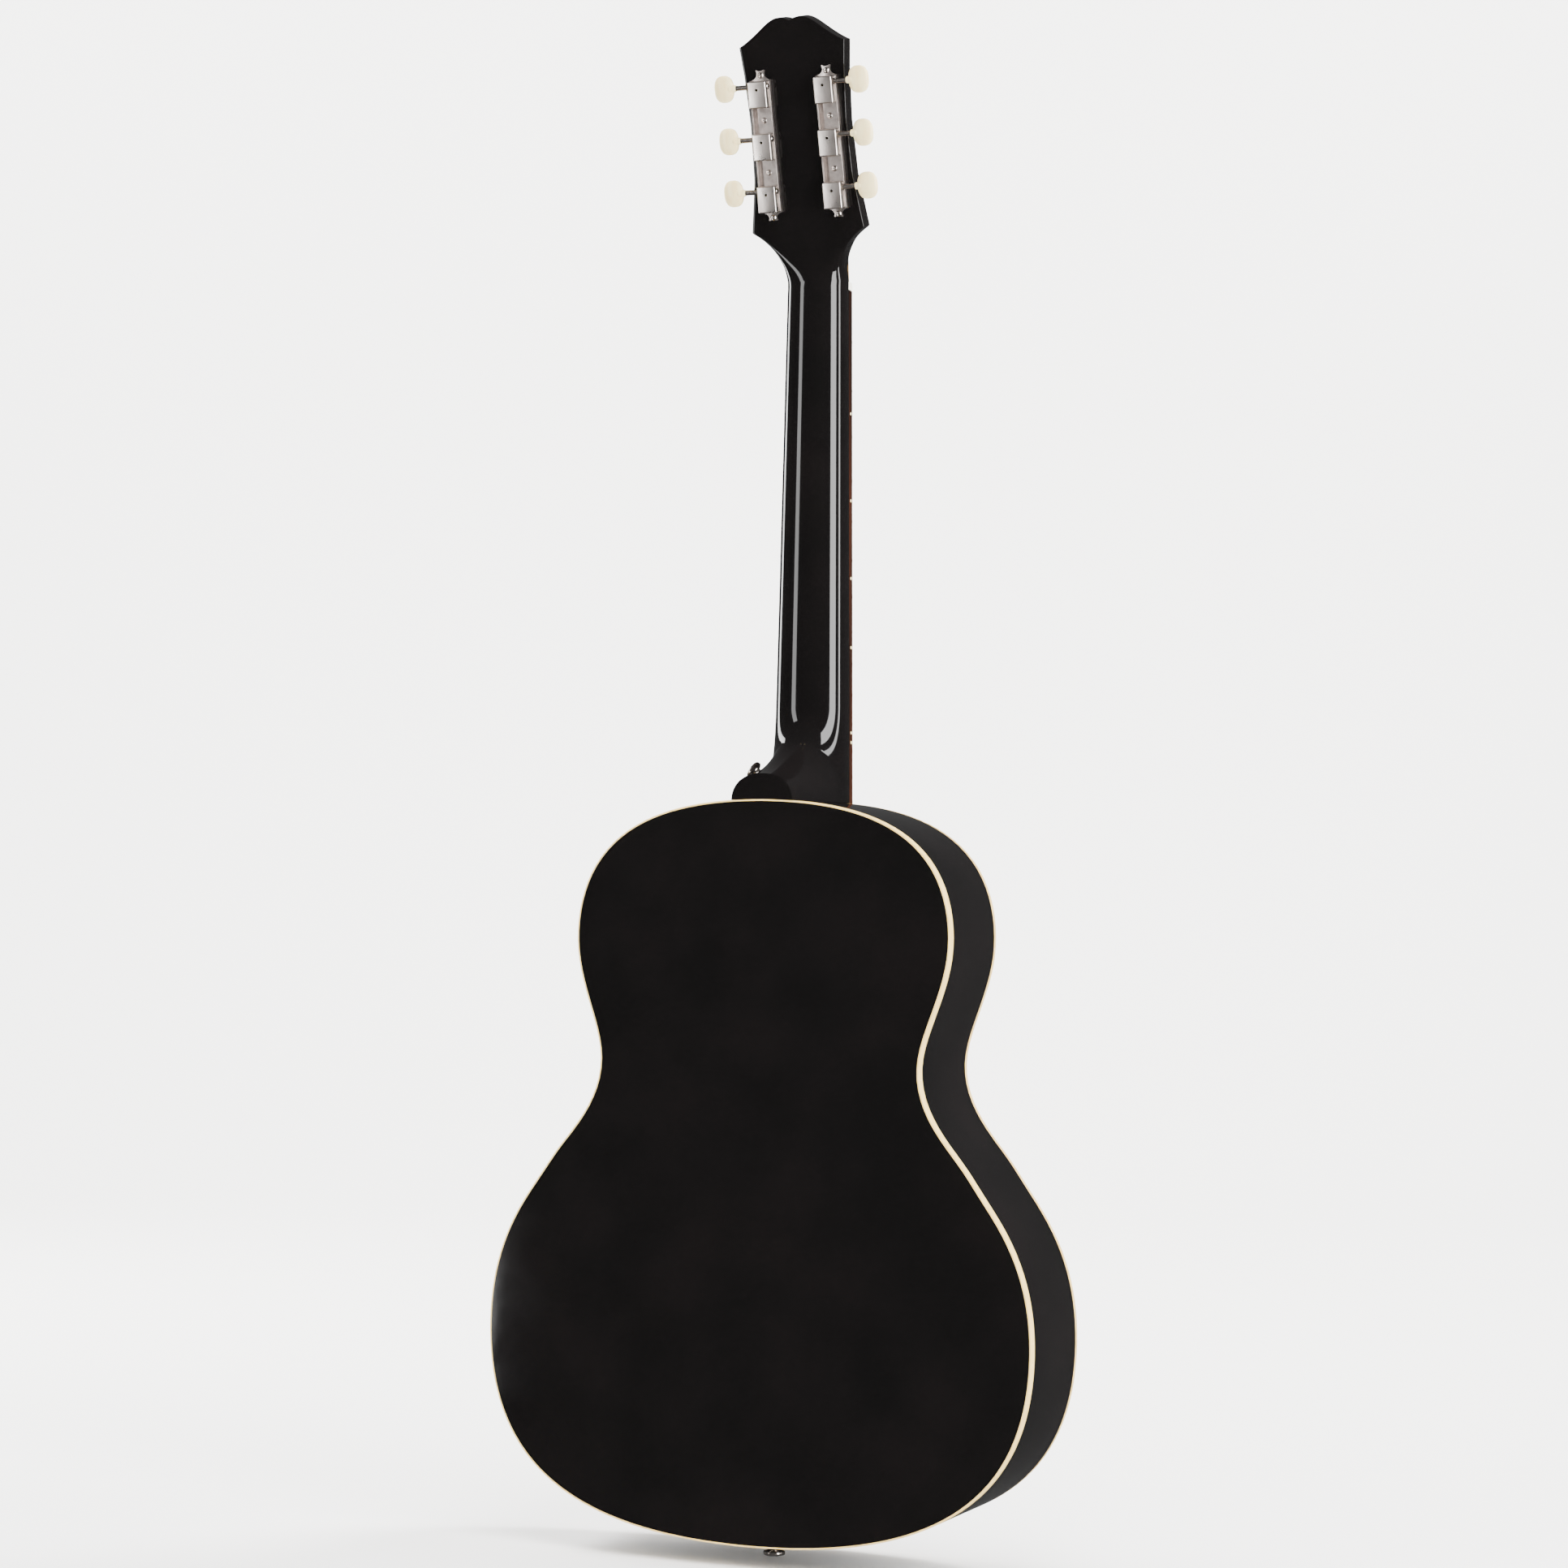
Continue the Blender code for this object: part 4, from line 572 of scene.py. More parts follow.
def prism(loop: Sequence[Point], low: float, high: float, matrix: Matrix = Matrix.Identity(4),
          soften: float = 0.0, segments: int = 2) -> bmesh.types.BMesh:
    """Flat piece from an outline in X and Z, extruded along Y.

    Args:
        loop: Points of (x, z).
        low: Where it starts along Y.
        high: Where it ends.
        matrix: Where the piece goes.
        soften: Width of the bevel round both faces.
        segments: Steps in that bevel.

    Returns:
        The shape.
    """
    shape = bmesh.new()
    face = shape.faces.new([shape.verts.new((x, low, z)) for x, z in loop])
    made = bmesh.ops.extrude_face_region(shape, geom=[face])
    top = [v for v in made["geom"] if isinstance(v, bmesh.types.BMVert)]
    bmesh.ops.translate(shape, verts=top, vec=(0, high - low, 0))
    bmesh.ops.recalc_face_normals(shape, faces=shape.faces)
    if soften:
        rims = [e for e in shape.edges if abs(e.verts[0].co.y - e.verts[1].co.y) < SAME]
        bevel(shape, rims, soften, segments)
    bmesh.ops.transform(shape, verts=shape.verts, matrix=matrix)
    return shape


def turned(profile: Sequence[Point], matrix: Matrix, steps: int = 40) -> bmesh.types.BMesh:
    """Round piece: a profile of (radius, height) spun about Z.

    Args:
        profile: Points from one end to the other.
        matrix: Where the piece goes.
        steps: Steps in a turn.

    Returns:
        The shape.
    """
    shape = bmesh.new()
    line = [shape.verts.new((radius, 0, height)) for radius, height in profile]
    edges = [shape.edges.new(pair) for pair in zip(line, line[1:])]
    bmesh.ops.spin(shape, geom=line + edges, cent=(0, 0, 0), axis=(0, 0, 1), angle=2 * math.pi,
                   steps=steps, use_merge=True)
    bmesh.ops.remove_doubles(shape, verts=shape.verts, dist=WELD)
    bmesh.ops.transform(shape, verts=shape.verts, matrix=matrix)
    return shape


def rounded(profile: Sequence[Point], times: int = 2) -> list[tuple[float, float]]:
    """Cut the corners of an open profile, keeping its ends.

    Args:
        profile: Points of the profile.
        times: How often to cut.

    Returns:
        The smoother profile.
    """
    line = [np.array(point, float) for point in profile]
    for _ in range(times):
        cut = [line[0]]
        for a, b in zip(line, line[1:]):
            cut += [a * 0.75 + b * 0.25, a * 0.25 + b * 0.75]
        line = cut + [line[-1]]
    return [tuple(point) for point in line]


def cylinder(radius: float, low: float, high: float, matrix: Matrix, count: int = 32,
             soften: float = 0.0) -> bmesh.types.BMesh:
    """Cylinder along Z.

    Args:
        radius: Its radius.
        low: Where it starts along Z.
        high: Where it ends.
        matrix: Where the piece goes.
        count: Steps in a turn.
        soften: Width of the bevel round both ends.

    Returns:
        The shape.
    """
    shape = bmesh.new()
    bmesh.ops.create_cone(shape, cap_ends=True, segments=count, radius1=radius, radius2=radius,
                          depth=high - low)
    bmesh.ops.translate(shape, verts=shape.verts, vec=(0, 0, (high + low) / 2))
    if soften:
        bevel(shape, [e for e in shape.edges if abs(e.verts[0].co.z - e.verts[1].co.z) < SAME], soften)
    bmesh.ops.transform(shape, verts=shape.verts, matrix=matrix)
    return shape


def cuboid(low: Point, high: Point, matrix: Matrix = Matrix.Identity(4), soften: float = 0.0,
           segments: int = 2) -> bmesh.types.BMesh:
    """Box between two corners.

    Args:
        low: Its lowest corner.
        high: Its highest corner.
        matrix: Where the piece goes.
        soften: Width of the bevel on its edges.
        segments: Steps in that bevel.

    Returns:
        The shape.
    """
    shape = bmesh.new()
    low, high = Vector(low), Vector(high)
    bmesh.ops.create_cube(shape, size=1)
    bmesh.ops.scale(shape, verts=shape.verts, vec=high - low)
    bmesh.ops.translate(shape, verts=shape.verts, vec=(low + high) / 2)
    if soften:
        bevel(shape, shape.edges, soften, segments)
    bmesh.ops.transform(shape, verts=shape.verts, matrix=matrix)
    return shape


def merge(shapes: Sequence[bmesh.types.BMesh]) -> bmesh.types.BMesh:
    """Put several shapes in one bmesh.

    Args:
        shapes: The shapes, which are freed.

    Returns:
        The whole.
    """
    whole = bmesh.new()
    for shape in shapes:
        mesh = bpy.data.meshes.new("part")
        shape.to_mesh(mesh)
        shape.free()
        whole.from_mesh(mesh)
        bpy.data.meshes.remove(mesh)
    return whole


def finalise(piece: bpy.types.Object, body: str, slot: str, *nodes: str) -> bpy.types.Object:
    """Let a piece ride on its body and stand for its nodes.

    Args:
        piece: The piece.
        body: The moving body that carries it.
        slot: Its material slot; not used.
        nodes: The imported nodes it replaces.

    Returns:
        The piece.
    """
    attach(piece, body)
    if nodes:
        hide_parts(*nodes)
    return piece


def bezier(t: float, start: np.ndarray, leave: np.ndarray, arrive: np.ndarray, end: np.ndarray) -> np.ndarray:
    """Point of a cubic curve at a share t of its way."""
    return (1 - t) ** 3 * start + 3 * (1 - t) ** 2 * t * leave + 3 * (1 - t) * t ** 2 * arrive + t ** 3 * end


# ---- profiles drawn in shares of a size ----------------------------------------------------

# Double crest of the headstock: shares of its half width and of its rise
CREST = ((1.0, 0.0), (0.89, 0.11), (0.68, 0.41), (0.47, 0.76), (0.33, 0.94), (0.22, 1.0), (0.10, 0.965),
         (0.0, 0.86))
# Section of a fret in millimetres: along the neck and towards the back
FRET_SECTION = ((-1.1, 0.3), (-1.1, 0), (-0.85, -0.6), (-0.4, -0.98), (0, -1.1), (0.4, -0.98), (0.85, -0.6),
                (1.1, 0), (1.1, 0.3))
# Ends of a machine plate: shares of its half width and of its tab's length
PLATE_CROWN = ((0.93, 0.0), (0.80, 0.05), (0.64, 0.13), (0.50, 0.26), (0.40, 0.42), (0.36, 0.58),
               (0.37, 0.72), (0.42, 0.86), (0.43, 0.95), (0.38, 1.0), (0.27, 0.95), (0.14, 0.90))
PLATE_FOOT = ((0.93, 0.0), (0.80, 0.04), (0.64, 0.11), (0.50, 0.22), (0.40, 0.36), (0.36, 0.48), (0.37, 0.60),
              (0.42, 0.70), (0.42, 0.77), (0.36, 0.80), (0.25, 0.77))
# Corners of the pickguard's outer edge in millimetres: from the soundhole's middle
GUARD_CORNERS = ((70, -76), (89, -70), (98, -48), (90, -20), (72, 10), (56, 34))
# Rings of the rosette in millimetres: inner and outer radius
ROSETTE = ((53.0, 54.0), (55.2, 58.2), (59.4, 60.4))
# Truss rod cover's bell in millimetres: half width and height over the headstock's foot
ROD_COVER = ((10.5, 1.5), (11.2, 4), (11.0, 8), (8.5, 13), (6.2, 20), (4.2, 25))


# ---- layout ----------------------------------------------------------------------------


@dataclass(frozen=True)
class Layout:
    """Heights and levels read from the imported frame."""

    front: float
    tail: float
    shoulder: float
    nut: float
    nut_top: float
    head_tilt: float
    joints: dict = field(default_factory=dict)
    scale_length: float = 628 * MM
    compensation: float = 2.5 * MM

    @classmethod
    def read(cls, frame: dict) -> "Layout":
        """Read the layout from the frame.


        Returns:
            The layout.
        """
        joints = {joint["name"]: joint for joint in frame["joints"]}
        axis = joints["post_1_turn"]["axis"]
        sides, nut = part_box("sides"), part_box("nut")
        return cls(front=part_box("soundboard")[0].y, tail=sides[0].z, shoulder=sides[1].z,
                   nut=nut[0].z - GAP, nut_top=nut[1].z, head_tilt=math.atan2(-axis[2], axis[1]),
                   joints=joints)

    def axle(self, name: str) -> Matrix:
        """Frame of a joint, with Z along its axis."""
        joint = self.joints[name]
        aim = Vector(joint["axis"]).to_track_quat("Z", "Y").to_matrix().to_4x4()
        return Matrix.Translation(joint["pos_m"]) @ aim

    @property
    def length(self) -> float:
        """Length of the body."""
        return self.shoulder - self.tail

    @property
    def saddle(self) -> float:
        """Height of the saddle's middle."""
        return self.nut - self.scale_length - self.compensation

    @property
    def head(self) -> Matrix:
        """Frame of the headstock: Y out of its back, Z along its face to the tip."""
        foot = self.nut_top + 2 * GAP
        return Matrix.Translation((0, self.front, foot)) @ Matrix.Rotation(-self.head_tilt, 4, "X")

    def fret(self, number: int) -> float:
        """Height of a fret."""
        return self.nut - self.scale_length * (1 - 2 ** (-number / 12))


@dataclass
class Body:
    """Soundbox: plates, sides, bindings, rosette and pickguard."""

    layout: Layout
    lower_half: float = 194.2 * MM
    lower_above_tail: float = 136.3 * MM
    waist_half: float = 113.5 * MM
    waist_below_shoulder: float = 174.6 * MM
    upper_half: float = 134.3 * MM
    upper_below_shoulder: float = 92.5 * MM
    tail_depth: float = 97.5 * MM
    shoulder_depth: float = 86.5 * MM
    arch_radius: float = 4.57
    side_thickness: float = 2.4 * MM
    plate_thickness: float = 2.8 * MM
    binding_width: float = 1.2 * MM
    binding_heights: dict[Face, float] = field(
        default_factory=lambda: {Face.FRONT: 4 * MM, Face.BACK: 6.8 * MM})
    soundhole_radius: float = 50 * MM
    steps: int = 110

    def __post_init__(self) -> None:
        """Work out the outline once."""
        half = self._half_outline()
        loop = np.vstack([half, (half * [-1, 1])[-2:0:-1]]) + [0, self.layout.tail]
        ahead = np.roll(loop, -1, axis=0) - np.roll(loop, 1, axis=0)
        ahead /= np.linalg.norm(ahead, axis=1)[:, None]
        self.loop = loop
        self.outward = np.column_stack([ahead[:, 1], -ahead[:, 0]])
        board_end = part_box("fingerboard")[0].z
        self.soundhole = board_end - self.soundhole_radius - 6 * MM

    def _half_outline(self) -> np.ndarray:
        """Evenly spaced points on the treble half, from the tail up."""
        length = self.layout.length
        waist = length - self.waist_below_shoulder
        flank = waist - self.lower_above_tail
        chest = self.waist_below_shoulder - self.upper_below_shoulder
        lean = (self.lower_half - self.waist_half) * 0.53
        anchors = [
            ((0, 0), (1, 0), 0, self.lower_half * 0.769),
            ((self.lower_half, self.lower_above_tail), (0, 1), self.lower_above_tail * 0.594, flank * 0.359),
            ((self.lower_half - lean, self.lower_above_tail + flank * 0.611), (-0.479, 0.878),
             flank * 0.109, flank * 0.088),
            ((self.waist_half, waist), (0, 1), flank * 0.187, chest * 0.256),
            ((self.upper_half, length - self.upper_below_shoulder), (0, 1), chest * 0.373,
             self.upper_below_shoulder * 0.659),
            ((0, length), (-1, 0), self.upper_half * 0.682, 0),
        ]
        points = []
        t = np.linspace(0, 1, 300, endpoint=False)[:, None]
        for (a, aim_a, _, leave), (b, aim_b, arrive, _) in zip(anchors, anchors[1:]):
            a, b, aim_a, aim_b = (np.array(value, float) for value in (a, b, aim_a, aim_b))
            p, q = a + aim_a * leave, b - aim_b * arrive
            points.append(bezier(t, a, p, q, b))
        points = np.vstack(points + [np.array([[0, length]])])
        walked = np.concatenate([[0], np.cumsum(np.hypot(*np.diff(points, axis=0).T))])
        even = np.linspace(0, walked[-1], self.steps + 1)
        line = np.column_stack([np.interp(even, walked, points[:, k]) for k in (0, 1)])
        for _ in range(3):            # ease the curvature where the pieces of curve meet
            line[1:-1] = (line[:-2] + 2 * line[1:-1] + line[2:]) / 4
        return line

    def inset(self, distance: float) -> np.ndarray:
        """The outline moved inwards."""
        return self.loop - self.outward * distance

    def back_at(self, x: float, z: float) -> float:
        """Outer surface of the back."""
        share = (z - self.layout.tail) / self.layout.length
        depth = self.tail_depth + (self.shoulder_depth - self.tail_depth) * share
        return self.layout.front + depth - x * x / (2 * self.arch_radius)

    def level(self, face: Face, x: float, z: float, below: float) -> float:
        """Y of a point some way under a face."""
        return self.layout.front + below if face is Face.FRONT else self.back_at(x, z) - below

    def rim(self, profile: Sequence[tuple[float, Face, float]]) -> bmesh.types.BMesh:
        """Ring round the body from a profile of (inset, face, distance under it)."""
        rings = []
        for distance, face, below in profile:
            ring = [(x, self.level(face, x, z, below), z) for x, z in self.inset(distance)]
            rings.append(ring)
        return loft(rings, looped=True)

    def build_sides(self) -> None:
        """Bent sides with a softened rebate, and the two bindings."""
        ledge, width = self.side_thickness, self.binding_width
        front, back = self.binding_heights[Face.FRONT], self.binding_heights[Face.BACK]
        hair = 0.05 * MM
        shape = self.rim([(0, Face.FRONT, front + hair), (0, Face.BACK, back + hair),
                          (width, Face.BACK, back + hair), (width, Face.BACK, self.plate_thickness + GAP),
                          (ledge, Face.BACK, self.plate_thickness + GAP),
                          (ledge, Face.FRONT, self.plate_thickness + GAP),
                          (width, Face.FRONT, self.plate_thickness + GAP), (width, Face.FRONT, front + hair)])
        sides = new_piece("bent_sides", shape, "black_lacquer")
        self.line_inside(sides, "mahogany")
        finalise(sides, "root", "black_lacquered_wood", "sides")
        for face, height in self.binding_heights.items():
            soft = 0.45 * MM
            ring = [(0, face, height), (0, face, soft), (soft * 0.3, face, soft * 0.3), (soft, face, 0),
                    (width, face, 0), (width, face, height)]
            name = f"{face.value}_binding_strip"
            # the front binding takes the darker copy of the celluloid: painted shade
            key = "binding" if face is Face.BACK else "shaded_front_binding"
            strip = new_piece(name, self.rim(ring), key, 50)
            node = "top_binding" if face is Face.FRONT else "back_binding"
            finalise(strip, "root", "cream_binding", node)

    def line_inside(self, piece: bpy.types.Object, key: str) -> None:
        """Give the faces that look into the soundbox their bare wood."""
        piece.data.materials.append(finish(key))
        middle = self.layout.front + self.tail_depth / 2
        for face in piece.data.polygons:
            x, y, z = face.center
            if abs(face.normal.y) > 0.5:
                inside = (face.normal.y > 0) == (y < middle)
            else:
                inside = self.wall_depth(x, z) > self.side_thickness * 0.6
            if inside:
                face.material_index = 1

    def wall_depth(self, x: float, z: float) -> float:
        """How far inside the outline a point lies."""
        gaps = self.loop - [x, z]
        nearest = int(np.argmin(np.hypot(*gaps.T)))
        return float(gaps[nearest] @ self.outward[nearest])

    def plate(self, name: str, face: Face, node: str, key: str, hole: float = 0.0) -> None:
        """Front or back plate in rings from its edge inwards.

        Args:
            name: The piece's name.
            face: Which face it is.
            node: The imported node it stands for.
            key: Finish of its bare side.
            hole: Radius of the soundhole, or nought.
        """
        edge = self.inset(self.binding_width + 0.03 * MM)
        middle = np.array([0, self.soundhole if hole else self.layout.tail + self.layout.length * 0.55])
        angles = [math.atan2(*(point - middle)[::-1]) for point in edge]
        core = np.array([[math.cos(a), math.sin(a)] for a in angles]) * (hole or 1 * MM) + middle
        shares = [0, 0.1, 0.28, 0.5, 0.75, 1.0]
        rings = [core + (edge - core) * share for share in shares]
        outer = [[(x, self.level(face, x, z, 0.0), z) for x, z in ring] for ring in rings]
        inner = [[(x, self.level(face, x, z, self.plate_thickness), z) for x, z in ring]
                 for ring in rings[::-1]]
        piece = new_piece(name, loft(outer + inner, capped=not hole, looped=bool(hole)), "black_lacquer")
        self.line_inside(piece, key)
        finalise(piece, "root", "black_lacquered_wood", node)

    def build_rosette(self) -> None:
        """Inlaid rings round the soundhole."""
        for number, (inner, outer) in enumerate(ROSETTE, 1):
            profile = [(inner * MM, 0), (inner * MM, 0.05 * MM), (outer * MM, 0.05 * MM), (outer * MM, 0)]
            home = Matrix.Translation((0, self.layout.front, self.soundhole)) @ TO_FRONT
            shape = turned(profile + profile[:1], home, 128)
            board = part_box("fingerboard")
            reach = (board[1].x + 1 * MM)
            doomed = [f for f in shape.faces if f.calc_center_median().z > board[0].z
                      and abs(f.calc_center_median().x) < reach]
            bmesh.ops.delete(shape, geom=doomed, context="FACES")
            bmesh.ops.holes_fill(shape, edges=[e for e in shape.edges if e.is_boundary], sides=4)
            # the rosette rings take the darker copy of the celluloid: painted shade
            finalise(new_piece(f"rosette_ring_{number}", shape, "shaded_front_binding"), "root", "cream_binding")

    def build_pickguard(self) -> None:
        """Teardrop pickguard beside the soundhole."""
        ring, start = self.soundhole_radius + 6 * MM, math.radians(84)
        angles = np.linspace(start * 0.5, start * 1.65, 14)
        inner = [(ring * math.sin(a), self.soundhole + ring * math.cos(a)) for a in angles]
        corners = [(x * MM, self.soundhole + z * MM) for x, z in GUARD_CORNERS]
        outer = rounded([inner[-1]] + corners + [inner[0]], 3)
        low = self.layout.front - 0.75 * MM
        shape = prism(inner + outer[1:-1], low, self.layout.front - 0.02 * MM, soften=0.25 * MM)
        finalise(new_piece("pickguard_sheet", shape, "black_plastic"), "root", "black_plastic", "pickguard")

    def build(self) -> None:
        """Build the soundbox and dress the wood inside it."""
        self.build_sides()
        self.plate("front_plate", Face.FRONT, "soundboard", "spruce", self.soundhole_radius)
        self.plate("rear_plate", Face.BACK, "back_plate", "mahogany")
        self.build_rosette()
        self.build_pickguard()
        LOG.info("soundbox built")


@dataclass
class Neck:
    """Neck with its heel and headstock, fingerboard, frets and inlays."""

    layout: Layout
    body: Body
    nut_width: float = 43 * MM
    taper: float = 0.03025
    depth_at_nut: float = 19.5 * MM
    depth_at_heel: float = 22.5 * MM
    board_edge: float = 6 * MM
    board_radius: float = 305 * MM
    ear_height: float = 36.7 * MM
    ear_half: float = 41.2 * MM
    head_side: float = 124.3 * MM
    head_waist: float = 35.0 * MM
    head_top: float = 38.4 * MM
    crest: float = 18.0 * MM
    head_thickness: float = 13.5 * MM
    heel_cap_half: float = 22.0 * MM
    heel_cap_height: float = 17.0 * MM
    heel_curve: float = 62.0 * MM     # above the body, where the neck's back starts to sweep out
    frets: int = 19

    def half(self, z: float) -> float:
        """Half the width at a height."""
        return self.nut_width / 2 + (self.layout.nut - z) * self.taper / 2

    def head_half(self, z: float) -> float:
        """Half the headstock's width at a height along its face."""
        foot = self.half(self.layout.nut_top)
        if z <= self.ear_height:
            share = max(0.0, z) / self.ear_height
            return foot + (self.ear_half - foot) * (0.12 * share ** 2 + 0.88 * share ** 3.4)
        share = (z - self.ear_height) / self.head_side
        line = np.interp(share, [0, 0.28, 0.58, 0.85, 1.0, 1.3],
                         [self.ear_half, self.head_waist + 1.2 * MM, self.head_waist,
                          self.head_top - 1.8 * MM, self.head_top, self.head_top + 2 * MM])
        return float(line)

    def section(self, base: Vector, back: Vector, half: float, boxy: float = 0.0) -> list[Vector]:
        """One section of the neck.

        Args:
            base: Middle of its straight side.
            back: The point of its outside farthest from there.
            half: Half its width.
            boxy: From nought, a rounded neck, to one, a square head.

        Returns:
            The section's points.
        """
        flat_x, flat_y = 0.9 + (0.045 - 0.9) * boxy, 0.85 + (0.045 - 0.85) * boxy
        ring = []
        for k in range(73):
            angle = math.pi * k / 72
            c, s = math.cos(angle), max(0.0, math.sin(angle))
            sideways = Vector((half * math.copysign(abs(c) ** flat_x, c), 0, 0))
            ring.append(base + sideways + (back - base) * s ** flat_y)
        return ring

    def heel_sections(self, corner: float = 5 / 14, steps: int = 56) -> list[list[Vector]]:
        """Sections from the heel cap, round the corner at the body and up to the shaft."""
        layout, front = self.layout, self.layout.front
        foot, cap = layout.shoulder - 2.5 * MM, self.body.back_at(0, layout.shoulder)
        top = layout.shoulder + self.heel_curve
        start = np.array([front + self.depth(top), top])
        leave = start + (1.5 * MM, -self.heel_curve * 0.35)
        arrive = np.array([front + self.body.shoulder_depth * 0.52,
                           layout.shoulder + self.heel_cap_height * 1.32])
        end = np.array([cap, layout.shoulder + self.heel_cap_height])
        at_body = self.half(layout.shoulder)
        rings = []
        for t in np.linspace(1, 0, steps, endpoint=False):
            y, z = bezier(t, start, leave, arrive, end)
            if t <= corner:
                base = Vector((0, front, top + (foot - top) * t / corner))
                half = self.half(base.z)
            else:
                share = (t - corner) / (1 - corner)
                base = Vector((0, front + (cap - front) * share, foot))
                half = at_body + (self.heel_cap_half - at_body) * share
            rings.append(self.section(base, Vector((0, y, z)), half))
        return rings

    def depth(self, z: float) -> float:
        """Depth of the shaft at a height."""
        share = (self.layout.nut - z) / (self.layout.nut - self.layout.shoulder)
        return self.depth_at_nut + (self.depth_at_heel - self.depth_at_nut) * share

    def skin(self) -> bpy.types.Object:
        """Loft from the heel cap up the shaft and the headstock to past the crests."""
        layout, foot, lean = self.layout, self.layout.nut_top + 2 * GAP, self.layout.head_tilt
        rings = self.heel_sections()
        for z in np.linspace(layout.shoulder + self.heel_curve, layout.nut, 20):
            base = Vector((0, layout.front, z))
            rings.append(self.section(base, base + Vector((0, self.depth(z), 0)), self.half(z)))
        for up in np.concatenate([np.linspace(-5, 38, 44), np.linspace(40, 184, 73)]) * MM:
            ease = min(1.0, max(0.0, (up + 6 * MM) / (36 * MM)))
            ease = ease * ease * (3 - 2 * ease)
            tilt = lean * min(1.0, max(0.0, (up + 6 * MM) / (22 * MM)))
            above = max(0.0, up)
            base = Vector((0, layout.front + above * math.sin(lean),
                           foot + min(0.0, up) + above * math.cos(lean)))
            depth = self.depth_at_nut + (self.head_thickness - self.depth_at_nut) * ease
            back = base + Vector((0, math.cos(tilt), -math.sin(tilt))) * depth
            rings.append(self.section(base, back, self.head_half(up), ease ** 1.2))
        return new_piece("carved_neck", loft(rings), "black_lacquer", 30)

    def crest_tool(self) -> bpy.types.Object:
        """Prism whose top is the double crest of the headstock."""
        base, top, rise = self.ear_height + self.head_side, self.head_top, self.crest
        side = rounded([(x * top, base + z * rise) for x, z in CREST], 3)
        wide = 60 * MM
        loop = [(wide, -0.6), (wide, base - 1 * MM), (top + 2.2 * MM, base - 0.6 * MM)] + side
        loop += [(-x, z) for x, z in side[-2::-1]]
        loop += [(-top - 2.2 * MM, base - 0.6 * MM), (-wide, base - 1 * MM), (-wide, -0.6)]
        return new_piece("crest", prism(loop, -0.2, 0.2, self.layout.head), "black_lacquer")

    def build_neck(self) -> None:
        """Loft the neck, shape its crests, fit its heel to the body and bore for the posts."""
        neck = combine(self.skin(), self.crest_tool(), "INTERSECT")
        layout = self.layout
        pared = prism(self.body.inset(-0.15 * MM), layout.front - 20 * MM, layout.front + 120 * MM)
        cut(neck, pared, "black_lacquer")
        for number in range(1, 7):
            bore = cylinder(4.35 * MM, -20 * MM, 40 * MM, layout.axle(f"post_{number}_turn"), 32)
            cut(neck, bore, "black_lacquer")
        low, high = layout.shoulder + 4 * MM, layout.nut + 4 * MM
        pocket = cuboid((-3 * MM, layout.front - 20 * MM, low),
                        (3 * MM, layout.front + 9 * MM, high + 2 * MM))
        cut(neck, pocket, "black_lacquer")
        axis = layout.front + 6 * MM
        well = cuboid((-4.5 * MM, layout.front - 20 * MM, high + 1 * MM),
                      (4.5 * MM, axis + 4.5 * MM, high + 16 * MM))
        cut(neck, well, "black_lacquer")
        crease(neck, 28)
        finalise(neck, "root", "black_lacquered_wood", "neck")

    def surface(self, x: float, z: float) -> float:
        """Y of the fingerboard's playing surface."""
        half = self.half(z)
        return self.layout.front - self.board_edge - (half * half - x * x) / (2 * self.board_radius)

    def build_board(self) -> None:
        """Radiused fingerboard, frets, dots and side dots."""
        layout = self.layout
        low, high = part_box("fingerboard")[0].z, layout.nut - GAP
        rings = []
        for z in np.linspace(low, high, 30):
            half = self.half(z)
            xs = np.linspace(half, -half, 15)
            soft = 0.25 * MM
            ring = [(-half, layout.front - GAP, z), (half, layout.front - GAP, z),
                    (half, layout.front - self.board_edge + soft, z)]
            ring += [(x * (1 - 0.004), self.surface(x, z), z) for x in xs]
            rings.append(ring + [(-half, layout.front - self.board_edge + soft, z)])
        board = new_piece("rosewood_fingerboard", loft(rings), "rosewood", 30)
        finalise(board, "root", "rosewood", "fingerboard")
        for number in range(1, self.frets + 1):
            self.build_fret(number)
        for number in (3, 5, 7, 9, 12, 15, 17):
            middle = (layout.fret(number) + layout.fret(number - 1)) / 2
            spots = (-9 * MM, 9 * MM) if number == 12 else (0.0,)
            for k, x in enumerate(spots):
                self.build_dot(f"position_dot_{number}_{k + 1}", x, middle)
            side_spots = (-3.3 * MM, 3.3 * MM) if number == 12 else (0.0,)
            for k, shift in enumerate(side_spots):
                z = middle + shift
                home = Matrix.Translation((-self.half(z), layout.front - 3.3 * MM, z)) @ TO_BASS
                dot = new_piece(f"side_dot_{number}_{k + 1}",
                                cylinder(1.0 * MM, -0.4 * MM, 0.06 * MM, home, 20), "cream")
                finalise(dot, "root", "cream_plastic")

    def build_fret(self, number: int) -> None:
        """One fret: a crowned wire that follows the board's radius."""
        z = self.layout.fret(number)
        half = self.half(z)
        rings = []
        for x in np.linspace(-half + 0.1 * MM, half - 0.1 * MM, 17):
            y = self.surface(x, z)
            end = min(1.0, (half - abs(x)) / (1.2 * MM) + 0.2)
            rings.append([(x, y + rise * MM * (end if rise < 0 else 1), z + side * MM)
                          for side, rise in FRET_SECTION])
        finalise(new_piece(f"fret_{number}", loft(rings), "frets", 50), "root", "rosewood")

    def build_dot(self, name: str, x: float, z: float) -> None:
        """Pearl dot flush with the fingerboard."""
        home = Matrix.Translation((x, self.surface(x, z), z)) @ TO_FRONT
        dot = new_piece(name, cylinder(3.1 * MM, -0.8 * MM, 0.05 * MM, home, 32), "pearl")
        finalise(dot, "root", "bone")

